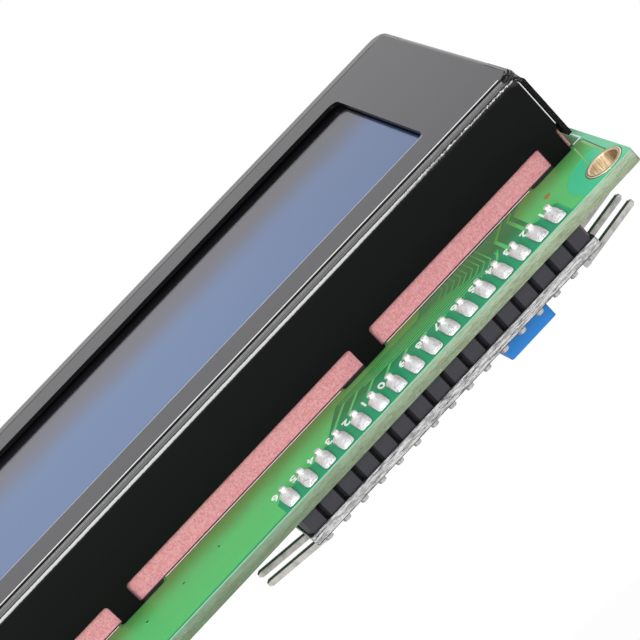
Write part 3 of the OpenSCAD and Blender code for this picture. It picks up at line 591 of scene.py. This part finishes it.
def black_board():
    """Black resist, and at the rim grey laminate torn by the router."""
    s = Shade("black_board")
    vector = s.place()
    z = s.parts(vector)[2]
    side = s.ease(abs(s.normal()[2]), 0.7, 0.5)
    run = s.noise(s.stretched(vector, (0.7, 0.7, 4.5)), 1.1, 5, 0.8)
    fibre = s.noise(s.stretched(vector, (0.32, 0.32, 5)), 2.0, 4, 0.8)
    edge = s.mix(s.ease(run, 0.36, 0.6), srgb(122, 122, 122), srgb(214, 214, 214))
    edge = s.mix(s.ease(fibre, 0.54, 0.6), edge, srgb(36, 36, 36))
    edge = s.mix(s.ease(abs(z - ADAPTER_MID_Z), 0.5, 0.56), edge, srgb(34, 34, 34))
    face = s.mix(s.noise(vector, 0.6, 3), srgb(24, 24, 26), srgb(34, 34, 37))
    height = run * side * 0.12 + s.noise(vector, 2, 2) * 0.006
    return s.finish(s.mix(side, face, edge), 0.2 + 0.5 * side, height)


def sealing_resin():
    """Black sealing resin that has flowed out smooth."""
    s = Shade("sealing_resin")
    vector = s.place()
    wave = s.noise(vector, 0.35, 2)
    grain = s.noise(vector, 4, 3)
    colour = s.mix(wave, (0.012, 0.012, 0.014), (0.02, 0.02, 0.022))
    return s.finish(colour, 0.22 + 0.15 * grain, wave, 0.15)


def small_part(kind, tone):
    """Body of a small part that is soldered flat on a board."""
    s = Shade("chip_part_" + kind)
    grain = s.noise(s.place(), 3, 3)
    return s.finish(s.mix(grain, tone, scaled(tone, 0.8)), 0.45, grain, 0.01)


# Modelling by bpy.ops

def deselect():
    if bpy.context.object and bpy.context.object.mode != "OBJECT":
        bpy.ops.object.mode_set(mode="OBJECT")
    bpy.ops.object.select_all(action="DESELECT")


def activate(obj):
    deselect()
    obj.select_set(True)
    bpy.context.view_layer.objects.active = obj
    return obj


def linked(name, data):
    """A new object in the scene."""
    obj = bpy.data.objects.new(name, data)
    bpy.context.scene.collection.objects.link(obj)
    return obj


def open_mesh(obj):
    """Goes to edit mode with the whole mesh selected."""
    activate(obj)
    bpy.ops.object.mode_set(mode="EDIT")
    bpy.ops.mesh.select_all(action="SELECT")


def close_mesh():
    """Goes back to object mode."""
    bpy.ops.object.mode_set(mode="OBJECT")


def settle(obj, name):
    """Puts the object's place, turn and size into its mesh."""
    activate(obj)
    bpy.ops.object.transform_apply(location=True, rotation=True, scale=True)
    obj.name = obj.data.name = name
    return obj


def apply_all(obj):
    activate(obj)
    for modifier in list(obj.modifiers):
        bpy.ops.object.modifier_apply(modifier=modifier.name)
    return obj


def smooth(obj, angle):
    activate(obj)
    bpy.ops.object.shade_smooth_by_angle(angle=math.radians(angle))
    return obj


def join(objects, name):
    """Joins finished pieces, whose places are in their meshes, under one name."""
    activate(objects[0])
    for obj in objects:
        obj.select_set(True)
    bpy.ops.object.join()
    obj = bpy.context.object
    obj.name = obj.data.name = name
    return obj


def dress(obj, material, slot, *replaced):
    """Gives a finished piece its material, puts it on the module, and hides the nodes
    that it replaces.
    """
    obj.data.materials.clear()
    obj.data.materials.append(material)
    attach(obj, "module")
    if replaced:
        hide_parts(*replaced)


def paint_nodes(material, *nodes):
    for node in nodes:
        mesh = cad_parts[node].data
        mesh.materials.clear()
        mesh.materials.append(material)


def copy_of_node(node, name):
    """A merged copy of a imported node, without the edges inside its flat faces."""
    obj = linked(name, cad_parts[node].data.copy())
    open_mesh(obj)
    bpy.ops.mesh.remove_doubles(threshold=2e-6)
    bpy.ops.mesh.dissolve_limited(angle_limit=math.radians(1.0))
    close_mesh()
    return smooth(obj, 32)


def flat_pattern(name, outlines, height, base):
    """A thin plate from closed outlines in millimetres. An outline inside
    another one becomes a hole."""
    curve = bpy.data.curves.new(name, "CURVE")
    curve.dimensions = "2D"
    curve.fill_mode = "BOTH"
    curve.extrude = height / 2 * MM
    for points in outlines:
        spline = curve.splines.new("POLY")
        spline.points.add(len(points) - 1)
        for point, (x, y) in zip(spline.points, points):
            point.co = (x * MM, y * MM, 0, 1)
        spline.use_cyclic_u = True
    activate(linked(name, curve))
    bpy.ops.object.convert(target="MESH")
    obj = bpy.context.object
    obj.location.z = (base + height / 2) * MM
    return settle(obj, name)


def plate(outline, height, base=0):
    """A plate in one outline, to be joined with others."""
    return flat_pattern("plate", (outline,), height, base)


def ribbon(points, width):
    """Closed outline of a track of even width along its points, mitred."""
    left, right = [], []
    for i, (x, y) in enumerate(points):
        before = Vector(points[i]) - Vector(points[i - 1]) if i else None
        after = Vector(points[i + 1]) - Vector(points[i]) if i + 1 < len(points) else None
        a = (before or after).normalized()
        b = (after or before).normalized()
        along = (a + b).normalized()
        side = Vector((-along.y, along.x))
        half = width / 2 / max(0.3, side.dot(Vector((-a.y, a.x))))
        left.append((x + side.x * half, y + side.y * half))
        right.append((x - side.x * half, y - side.y * half))
    return left + right[::-1]


def rounded(x0, x1, y0, y1, radius=0.0):
    """Outline of a rectangle, with rounded corners if a radius is given."""
    if not radius:
        return [(x0, y0), (x1, y0), (x1, y1), (x0, y1)]
    points = []
    for cx, cy, start in ((x1 - radius, y1 - radius, 0), (x0 + radius, y1 - radius, 90),
                          (x0 + radius, y0 + radius, 180), (x1 - radius, y0 + radius, 270)):
        points += arc(cx, cy, radius, start, start + 90, 5)
    return points


def ring(cx, cy, radius, steps):
    return [(cx + radius * math.cos(math.tau * k / steps),
             cy + radius * math.sin(math.tau * k / steps)) for k in range(steps)]


# Sizes and colours that a user would change

def colour_prop(name, description, default):
    return bpy.props.FloatVectorProperty(name=name, description=description, subtype="COLOR",
                                         size=3, min=0, max=1, default=default)


def number_prop(name, description, default, subtype="POWER", **more):
    return bpy.props.FloatProperty(name=name, description=description, default=default,
                                   subtype=subtype, **more)


class DISPLAY_PG_finish(bpy.types.PropertyGroup):
    enamel: colour_prop("Enamel", "Paint of the bezel", (0.0055, 0.0055, 0.0058))
    film: colour_prop("Film", "Tint of the light that the display throws back",
                      (0.08, 0.132, 0.262))
    sponge: colour_prop("Sponge", "Contact strips between glass and board",
                        srgb(214, 134, 142))
    resist: colour_prop("Resist on copper", "Board where copper lies below",
                        srgb(92, 188, 110))
    laminate: colour_prop("Resist on laminate", "Board where no copper lies below",
                          srgb(50, 158, 112))
    header: colour_prop("Header", "Plastic of the pin headers", srgb(42, 42, 48))


class DISPLAY_PG_light(bpy.types.PropertyGroup):
    world: number_prop("World", "Strength of the even light", 0.6, "NONE")
    top: number_prop("Softbox", "Power of the narrow lamp overhead", 0.8)
    back: number_prop("Screen", "Power of the white screen behind the display", 0.2)
    key: number_prop("Key lamp", "Power of the lamp over the camera's side", 3.2)
    floor_z: number_prop("Floor", "Height of the floor under the display", -0.25,
                         "DISTANCE", unit="LENGTH")


def on_window_edge(x, y):
    """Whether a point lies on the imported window's outline near a corner."""
    over_x, over_y = x - WINDOW_X + PACKED_WINDOW_R, y - WINDOW_Y + PACKED_WINDOW_R
    if over_x > 0 and over_y > 0:
        return abs(math.hypot(over_x, over_y) - PACKED_WINDOW_R) < 0.03
    past = max(over_x, over_y)
    return past < PACKED_WINDOW_R + 0.02 and abs(past - PACKED_WINDOW_R) < 0.02


class DISPLAY_OT_bezel(bpy.types.Operator):
    """Gives the folded bezel smooth folds, eased edges and black enamel"""

    bl_idname = "display.bezel"
    bl_label = "Bezel"

    CORNER_R, WINDOW_R, EASE = 2.0, 1.2, 0.05
    CORNER_STEP, WINDOW_STEP = 0.35, 0.24
    DEPTH, FADE = 1.5, 0.7

    def execute(self, context):
        shell = copy_of_node("bezel", "bezel_enamelled")
        self.round_corners(shell)
        eased = shell.modifiers.new("eased", "BEVEL")
        eased.width, eased.segments = self.EASE * MM, 2
        eased.limit_method, eased.angle_limit = "ANGLE", math.radians(30)
        apply_all(shell)
        smooth(shell, 32)
        shell.modifiers.new("flat_faces", "WEIGHTED_NORMAL").keep_sharp = True
        apply_all(shell)
        dress(shell, black_enamel(context.scene.display_finish), "steel_black", "bezel")
        return {"FINISHED"}

    def round_corners(self, shell):
        """Cuts the face finely at its corners and draws the square corners in round."""
        corner_x, corner_y = BEZEL_X - self.CORNER_R, BEZEL_Y - self.CORNER_R
        pane_x, pane_y = WINDOW_X - self.WINDOW_R, WINDOW_Y - self.WINDOW_R
        cuts = [((0, 0, 1), FACE_Z - self.DEPTH)]
        for k in range(6):
            places = [corner_x + self.CORNER_STEP * k, corner_y + self.CORNER_STEP * k]
            if k < 5:
                places += [pane_x + self.WINDOW_STEP * k, pane_y + self.WINDOW_STEP * k]
            cuts += [(axis, side * place) for side in (1, -1)
                     for axis, place in zip(((1, 0, 0), (0, 1, 0)) * 2, places)]
        open_mesh(shell)
        for axis, place in cuts:
            bpy.ops.mesh.select_all(action="SELECT")
            bpy.ops.mesh.bisect(plane_co=[c * place * MM for c in axis], plane_no=axis)
        close_mesh()
        for vertex in shell.data.vertices:
            x, y, z = (c / MM for c in vertex.co)
            out_x, out_y = abs(x) - corner_x, abs(y) - corner_y
            share = min(1.0, max(0.0, (z - FACE_Z + self.DEPTH) / self.FADE))
            if share and out_x > 0 and out_y > 0:
                draw_in = 1 + share * (max(out_x, out_y) / math.hypot(out_x, out_y) - 1)
                vertex.co.x = math.copysign(corner_x + out_x * draw_in, x) * MM
                vertex.co.y = math.copysign(corner_y + out_y * draw_in, y) * MM
            in_x, in_y = abs(x) - pane_x, abs(y) - pane_y
            if min(in_x, in_y) > 0 and on_window_edge(abs(x), abs(y)):
                draw_in = self.WINDOW_R / math.hypot(in_x, in_y)
                vertex.co.x = math.copysign(pane_x + in_x * draw_in, x) * MM
                vertex.co.y = math.copysign(pane_y + in_y * draw_in, y) * MM


class DISPLAY_OT_cell(bpy.types.Operator):
    """Finishes the display cell, the contact strips and the backlight"""

    bl_idname = "display.cell"
    bl_label = "Display cell"

    def execute(self, context):
        settings = context.scene.display_finish
        white = moulded("white_tray", srgb(236, 236, 230), 0.5)
        paint_nodes(display_film(settings), "front_film")
        paint_nodes(clear_glass(), "front_glass", "rear_glass")
        paint_nodes(moulded("pearl_film", srgb(186, 196, 214), 0.3), "rear_film")
        paint_nodes(sponge(settings), "contact_strip_pin_side", "contact_strip_far_side")
        paint_nodes(white, "diffuser_sheet", "backlight_tray")
        paint_nodes(moulded("acrylic_guide", srgb(214, 228, 236), 0.1), "light_guide")
        paint_nodes(moulded("lamp_laminate", srgb(226, 220, 190), 0.6), "lamp_board")
        paint_nodes(moulded("lamp_resin", srgb(250, 240, 190), 0.3), "backlight_lamps")
        return {"FINISHED"}


class DISPLAY_OT_board(bpy.types.Operator):
    """Finishes the main board with its copper, tracks and ink"""

    bl_idname = "display.board"
    bl_label = "Main board"

    # Widths, radii and places of what is drawn on the board, in millimetres
    BUS_WIDTH, BUS_BEND, BACK_WIDTH, LINE_WIDTH = 0.15, 1.1, 0.3, 0.18
    VIA_R, VIA_HOLE_R, VIA_DARK_R, VIA_T = 0.28, 0.1, 0.15, 0.045
    LINE_SPAN, GAP_SPAN = (18.9, 19.08), (18.72, 19.22)
    DIGIT_SHIFT, DIGIT_Y, DIGIT_SIZE = 0.5, 25.28, 1.75

    # Section of a plated hole's rim, as radius and height over the board
    RIM = ((2.18, 0.0), (2.16, 0.06), (2.08, 0.1), (1.95, 0.12), (1.84, 0.1), (1.77, 0.04),
           (1.74, -0.06))

    def execute(self, context):
        settings = context.scene.display_finish
        paint_nodes(green_board(settings), "board")
        self.eyelets()
        resist = green_copper(settings)
        self.front(resist)
        self.ink()
        self.back(resist)
        return {"FINISHED"}

    def eyelets(self):
        """The plated holes: one barrel with a rounded rim at both ends, spun and copied."""
        bpy.ops.mesh.primitive_plane_add(size=1)
        first = bpy.context.object
        first.data.clear_geometry()
        outline = list(self.RIM) + [(r, -BOARD_T - z) for r, z in reversed(self.RIM)]
        edges = [(k, k + 1) for k in range(len(outline) - 1)]
        first.data.from_pydata([(r * MM, 0, z * MM) for r, z in outline], edges, [])
        open_mesh(first)
        bpy.ops.mesh.spin(steps=56, angle=math.tau, axis=(0, 0, 1), center=(0, 0, 0))
        bpy.ops.mesh.select_all(action="SELECT")
        bpy.ops.mesh.remove_doubles(threshold=1e-6)
        bpy.ops.mesh.normals_make_consistent(inside=False)
        close_mesh()
        copies = []
        for x in (HOLE_X, -HOLE_X):
            for y in (HOLE_Y, -HOLE_Y):
                obj = linked("eyelet", first.data.copy())
                obj.location = (x * MM, y * MM, 0)
                copies.append(settle(obj, "eyelet"))
        bpy.data.objects.remove(first)
        eyelets = smooth(join(copies, "plated_eyelets"), 50)
        dress(eyelets, plated_gold(), "gold", "hole_platings")

    def front(self, resist):
        """Copper on the front: three pours, a bus of fine tracks, wide ones, and dots."""
        pours = flat_pattern("front_pours", (CORNER_POUR, MAIN_POUR, FAR_POUR), COPPER, 0)
        dress(pours, resist, "board_green")
        bend = self.BUS_BEND
        bus = [ribbon([(rise, WALL_FOOT), (rise, level - bend), (rise + bend, level),
                       (end, level)], self.BUS_WIDTH)
               for rise, level, end in zip(BUS_RISERS, BUS_LEVELS, BUS_ENDS)]
        tracks = [plate(outline, COPPER - 0.004) for outline in bus]
        tracks += [plate(ribbon([(x, top), (x, foot), *rest], width), COPPER - 0.002 * (i % 2))
                   for i, (width, x, top, foot, *rest) in enumerate(WIDE_TRACKS)]
        dress(join(tracks, "front_tracks"), resist, "board_green")
        dots = [flat_pattern("via", (ring(x, y, self.VIA_R, 24),
                                     ring(x, y, self.VIA_HOLE_R, 16)), self.VIA_T, 0)
                for x, y in VIAS]
        dress(join(dots, "front_vias"), resist, "board_green")
        thin = [plate(ribbon(points, width), COPPER + 0.01) for width, points in THIN_TRACKS]
        pale = moulded("thin_track", srgb(138, 190, 128), 0.45)
        dress(join(thin, "front_thin_tracks"), pale, "board_green")
        mark = flat_pattern("bare_mark", (ring(-40.85, 23.2, 0.42, 20),), 0.05, 0)
        dress(mark, bare_copper(), "gold")

    def stripes(self, span, thickness):
        """Plates along the bezel's foot on both sides, where it has no legs."""
        y0, y1 = span
        return [plate(rounded(x0, x1, low, high), thickness)
                for low, high in ((y0, y1), (-y1, -y0)) for x0, x1 in BETWEEN_LEGS]

    def ink(self):
        """White lines and a painted shadow line at the bezel's foot, dark dots in the vias as
        painted shade, a dark line beside a thin track, and plain pin numbers.
        """
        ink = board_ink()
        lines = self.stripes(self.LINE_SPAN, INK)
        for side in (1, -1):
            for end in (1, -1):
                corner = [(end * 47.3, side * 19.0), (end * 48.35, side * 19.0),
                          (end * 48.35, side * 16.5)]
                lines.append(plate(ribbon(corner, self.LINE_WIDTH), INK))
        dress(join(lines, "ink_lines"), ink, "white_plastic")
        # Painted shadow: dark stripes along the bezel's foot
        shadow_plates = self.stripes(self.GAP_SPAN, INK - 0.01)
        # Painted shade: dark discs over the vias' holes
        shadow_plates += [plate(ring(x, y, self.VIA_DARK_R, 16), INK + 0.004) for x, y in VIAS]
        shadow_plates.append(plate(ribbon(THIN_GAP, 0.06), COPPER + 0.012))
        dark = moulded("painted_shade_mark", (0.006, 0.02, 0.012), 0.3)
        dress(join(shadow_plates, "painted_shade_marks"), dark, "board_green")
        labels = [self.label(str(i + 1), PIN_X0 + i * PITCH + self.DIGIT_SHIFT, self.DIGIT_Y)
                  for i in range(PIN_COUNT)]
        dress(join(labels, "ink_numbers"), ink, "white_plastic")

    def label(self, text, x, y):
        deselect()
        bpy.ops.object.text_add(location=(x * MM, y * MM, (INK / 2 + 0.002) * MM))
        data = bpy.context.object.data
        data.body = text
        data.align_x, data.align_y = "CENTER", "CENTER"
        data.size = self.DIGIT_SIZE * MM
        data.extrude = INK / 2 * MM
        data.offset = 0.035 * MM
        data.resolution_u = 3
        bpy.ops.object.convert(target="MESH")
        return settle(bpy.context.object, "label")

    def back(self, resist):
        """Copper on the back: a pour round open fields, and tracks in the fields."""
        low = -BOARD_T - COPPER
        rim = (halo(-1, 1, BACK_HALO_R) + halo(1, 1, BACK_HALO_R)[::-1]
               + halo(1, -1, BACK_HALO_R) + halo(-1, -1, BACK_HALO_R)[::-1])
        holes = [rounded(x0 - 0.6, x1 + 0.6, y - 2.2, y + 2.2, 0.8)
                 for x0, x1 in SLOTS_ALONG for y in (SLOT_Y, -SLOT_Y)]
        holes.append(rounded(-41.3, 1.2, 25.4, 29.0, 0.5))
        holes.append(rounded(-40.5, 41.5, -14.2, 11.5, 1.5))
        holes.append(rounded(41.9, 46.4, -4.6, 4.6, 0.6))
        dress(flat_pattern("back_pour", [rim] + holes, COPPER, low), resist, "board_green")
        tracks = []
        for k in range(14):
            y = -11.3 + 0.95 * k
            tracks += [[(-22.0, y), (-8.2, y)], [(8.2, y), (20.8, y)]]
        for k in range(7):
            x = -38.5 + 1.9 * k
            drop = 0.6 * abs(k - 3)
            tracks.append([(x, 10.9), (x, 6.5 - drop), (x * 0.35 - 18.4, 3.4 - drop)])
        for k in range(9):
            x = 24.0 + 1.5 * k
            drop = 0.5 * abs(k - 4)
            tracks.append([(x, 10.9), (x, 6.2 - drop), (29 + (x - 30) * 0.5, 4.4 - drop)])
        plates = [plate(ribbon(points, self.BACK_WIDTH), COPPER - 0.005, low + 0.005)
                  for points in tracks]
        dress(join(plates, "back_tracks"), resist, "board_green")
        spots = [plate(ring(-36 + 6 * k, -13.1, 0.55, 24), 0.04, -BOARD_T - 0.04)
                 for k in range(13)]
        dress(join(spots, "back_test_spots"), plated_gold(), "gold")


class DISPLAY_OT_solder(bpy.types.Operator):
    """Models the solder joints and finishes the pins"""

    bl_idname = "display.solder"
    bl_label = "Solder and pins"

    # Rings of a joint from the pad up, in millimetres: its reach along the row, to the
    # board's edge and away from it, and its height
    MOUND = ((0.8, 1.3, 2.24, 0.0), (0.82, 1.3, 2.26, 0.05), (0.82, 1.26, 2.25, 0.16),
             (0.78, 1.14, 2.08, 0.3), (0.7, 0.96, 1.8, 0.46), (0.58, 0.72, 1.36, 0.64),
             (0.46, 0.5, 0.86, 0.8), (0.4, 0.41, 0.52, 0.94), (0.39, 0.39, 0.4, 1.08),
             (0.38, 0.38, 0.38, 1.24), (0.28, 0.28, 0.28, 1.36))
    CONE = tuple((r, r, r, h) for r, h in ((0.79, 0.0), (0.76, 0.06), (0.6, 0.2), (0.45, 0.42),
                                           (0.36, 0.66), (0.25, 0.82)))
    AROUND = 24

    # Most that a point of a joint strays in its reach and in its height, as a share
    REACH_STRAY, RISE_STRAY = 0.014, 0.012

    def execute(self, context):
        tin = bright_solder()
        pin = tinned_pin()
        draw = random.Random(16)
        joints = [self.mound(PIN_X0 + i * PITCH, draw) for i in range(PIN_COUNT)]
        low, high = LEADS
        x = (low[0] + high[0]) / 2
        joints += [self.cone(x, y) for y in (low[1] + LEAD_HALF, high[1] - LEAD_HALF)]
        dress(join(joints, "joints_of_the_board"), tin, "solder", "board_solder")
        paint_nodes(tin, "adapter_solder")
        paint_nodes(pin, "header_pins", "bus_header_pins", "jumper_header_pins",
                    "trimmer_pins", "port_chip_leads", "transistor_leads", "backlight_leads")
        return {"FINISHED"}

    def mound(self, x, draw):
        """One joint on its oblong pad: rings that are drawn in and up over the pin."""
        lean = draw.uniform(-0.05, 0.05)
        swell = draw.uniform(0.94, 1.05)
        return self.loft(self.MOUND, (x, PIN_Y, 0.0), 1, draw, lean, swell)

    def cone(self, x, y):
        """A small round joint on a supply lead, behind the board."""
        return self.loft(self.CONE, (x, y, -BOARD_T), -1, random.Random(5), 0.0, 1.0)

    def loft(self, rings, foot, way, draw, lean, swell):
        """A disc extruded once for each ring, which then gets its reach and height. A
        mound's low rings are nearly oblong, as its pad is, and its high ones round."""
        deselect()
        bpy.ops.mesh.primitive_circle_add(vertices=self.AROUND, radius=1, fill_type="NGON")
        obj = bpy.context.object
        open_mesh(obj)
        for _ in rings[1:]:
            bpy.ops.mesh.extrude_region_move(TRANSFORM_OT_translate={"value": (0, 0, way)})
        close_mesh()
        x, y, z = foot
        points = sorted(obj.data.vertices, key=lambda v: (round(way * v.co.z),
                                                          math.atan2(v.co.y, v.co.x)))
        for k, vertex in enumerate(points):
            side, back, front, height = rings[k // self.AROUND]
            turn = Vector((vertex.co.x, vertex.co.y)).normalized()
            squared = 0.3 + 0.7 * min(1.0, height / 0.85) if way > 0 else 1.0
            turn = Vector([math.copysign(abs(c) ** squared, c) for c in turn])
            wobble = 1 + draw.uniform(-self.REACH_STRAY, self.REACH_STRAY)
            rise = height * (1 + draw.uniform(-self.RISE_STRAY, self.RISE_STRAY))
            out_x = turn.x * side * wobble * (swell if height > 0.1 else 1)
            out_y = turn.y * (front if turn.y > 0 else back) * wobble
            vertex.co = ((x + out_x + lean * height) * MM, (y + out_y) * MM,
                         (z + way * rise) * MM)
        open_mesh(obj)
        bpy.ops.mesh.normals_make_consistent(inside=False)
        close_mesh()
        modifier = obj.modifiers.new("rounded", "SUBSURF")
        modifier.levels = modifier.render_levels = 1
        apply_all(obj)
        return smooth(obj, 60)


class DISPLAY_OT_adapter(bpy.types.Operator):
    """Finishes the adapter board, its headers, chip, trimmer and small parts"""

    bl_idname = "display.adapter"
    bl_label = "Adapter board"

    def execute(self, context):
        plastic = header_plastic(context.scene.display_finish)
        paint_nodes(plastic, "header_strip", "bus_header_block", "jumper_header_block")
        paint_nodes(black_board(), "adapter_board")
        paint_nodes(moulded("trimmer_blue", srgb(34, 136, 222), 0.55), "trimmer_body")
        paint_nodes(moulded("trimmer_screw", srgb(226, 222, 206), 0.45), "trimmer_screw")
        chip = moulded("chip_black", srgb(46, 46, 50), 0.5, 5, 0.015)
        paint_nodes(chip, "port_chip", "transistor")
        paint_nodes(sealing_resin(), "control_chip_drop", "driver_chip_drop_left",
                    "driver_chip_drop_right")
        resistor = small_part("resistor", srgb(38, 38, 42))
        paint_nodes(resistor, "board_resistors", "adapter_resistors")
        paint_nodes(small_part("capacitor", srgb(176, 140, 100)), "adapter_capacitors")
        paint_nodes(small_part("lamp", srgb(240, 226, 196)), "power_lamp")
        return {"FINISHED"}


# Camera rows in the part's frame: right, up, and back towards the viewer
CAMERA_PLACE = (0.011578, 0.286355, 0.115713)
CAMERA_RIGHT = (-0.6841586, 0.3347511, -0.6479728)
CAMERA_UP = (-0.7229885, -0.1943495, 0.6629600)
CAMERA_BACK = (0.0959934, 0.9220466, 0.3749871)
CAMERA_LENS = 163.548
CAMERA_SENSOR = 36

FLOOR_R = 0.35
FLOOR_GREY = 0.86
FLOOR_GLOW = 0.95
CEILING_GLOSS = 0.12


class DISPLAY_OT_stage(bpy.types.Operator):
    """Sets up the camera, the lamps, the pale floor and the even light"""

    bl_idname = "display.stage"
    bl_label = "Stage"

    def execute(self, context):
        light = context.scene.display_light
        data = bpy.data.cameras.new("camera")
        data.lens = CAMERA_LENS
        data.sensor_width = CAMERA_SENSOR
        data.sensor_fit = "HORIZONTAL"
        data.clip_start = 0.01
        camera = linked("camera", data)
        turn = Matrix((CAMERA_RIGHT, CAMERA_UP, CAMERA_BACK)).transposed()
        camera.matrix_world = Matrix.Translation(CAMERA_PLACE) @ turn.to_4x4()
        context.scene.camera = camera
        self.lamp("softbox", (0.0, 0.06, 0.6), (0, 0, 0), 0.6, 0.05, light.top)
        self.lamp("back_screen", (-0.05, -0.8, 0.17), (0, 0, 0), 1.1, 0.36, light.back)
        self.lamp("key_lamp", (0.25, 0.55, 0.3), (0, 0.02, 0), 0.25, 0.25, light.key)
        context.scene.world = self.world(light.world)
        self.floor(light.floor_z)
        context.scene.view_settings.view_transform = "Standard"
        return {"FINISHED"}

    def lamp(self, name, place, target, width, depth, power):
        data = bpy.data.lights.new(name, "AREA")
        data.shape = "RECTANGLE"
        data.size, data.size_y, data.energy = width, depth, power
        obj = linked(name, data)
        obj.location = place
        aim = Vector(target) - Vector(place)
        obj.rotation_euler = aim.to_track_quat("-Z", "Y").to_euler()

    def world(self, strength):
        """White to the camera, through glass and in gloss, apart from a dim ceiling
        in gloss, in which the softbox stands out."""
        s = Shade("studio", "worlds", "OutputWorld")
        even, white, ceiling = (s.add("Background", {}, Color=(1, 1, 1), Strength=level)
                                for level in (strength, 1.0, CEILING_GLOSS))
        height = s.parts(s.add("TexCoord", {}, out="Generated"))[2]
        gloss = s.add("MixShader", {}, s.ease(height, 0.5, 0.62), white, ceiling)
        lit = s.add("MixShader", {}, s.ray("Glossy"), even, gloss)
        seen = s.ray("Camera").most(s.ray("Transmission"))
        return s.surface(s.add("MixShader", {}, seen, lit, white))

    def floor(self, height):
        """A pale disc that glows where it is seen, and is clear from below."""
        deselect()
        bpy.ops.mesh.primitive_circle_add(vertices=96, radius=FLOOR_R, fill_type="NGON",
                                          location=(0, 0, height))
        floor = settle(bpy.context.object, "floor")
        s = Shade("pale_floor")
        seen = s.ray("Camera").most(s.ray("Glossy")).most(s.ray("Transmission"))
        pale = s.add("BsdfDiffuse", {}, Color=(FLOOR_GREY,) * 3)
        glow = s.add("MixShader", {}, seen * FLOOR_GLOW, pale, s.add("Emission", {}))
        below = s.add("NewGeometry", {}, out="Backfacing")
        clear = s.add("BsdfTransparent", {})
        floor.data.materials.append(s.surface(s.add("MixShader", {}, below, glow, clear)))


class DISPLAY_PT_panel(bpy.types.Panel):
    """Lists the steps and the settings"""

    bl_idname = "DISPLAY_PT_panel"
    bl_label = "Display module"
    bl_space_type = "VIEW_3D"
    bl_region_type = "UI"
    bl_category = "Display module"

    def draw(self, context):
        for group in (context.scene.display_finish, context.scene.display_light):
            for key in group.__annotations__:
                self.layout.prop(group, key)
        for step in STEPS:
            self.layout.operator(step.bl_idname)


STEPS = (DISPLAY_OT_bezel, DISPLAY_OT_cell, DISPLAY_OT_board, DISPLAY_OT_solder,
         DISPLAY_OT_adapter, DISPLAY_OT_stage)
CLASSES = (DISPLAY_PG_finish, DISPLAY_PG_light) + STEPS + (DISPLAY_PT_panel,)


def register():
    for item in CLASSES:
        bpy.utils.register_class(item)
    bpy.types.Scene.display_finish = bpy.props.PointerProperty(type=DISPLAY_PG_finish)
    bpy.types.Scene.display_light = bpy.props.PointerProperty(type=DISPLAY_PG_light)


def unregister():
    del bpy.types.Scene.display_finish
    del bpy.types.Scene.display_light
    for item in reversed(CLASSES):
        bpy.utils.unregister_class(item)


def main():
    register()
    bpy.ops.display.bezel()
    bpy.ops.display.cell()
    bpy.ops.display.board()
    bpy.ops.display.solder()
    bpy.ops.display.adapter()
    bpy.ops.display.stage()


if __name__ == "__main__":
    main()
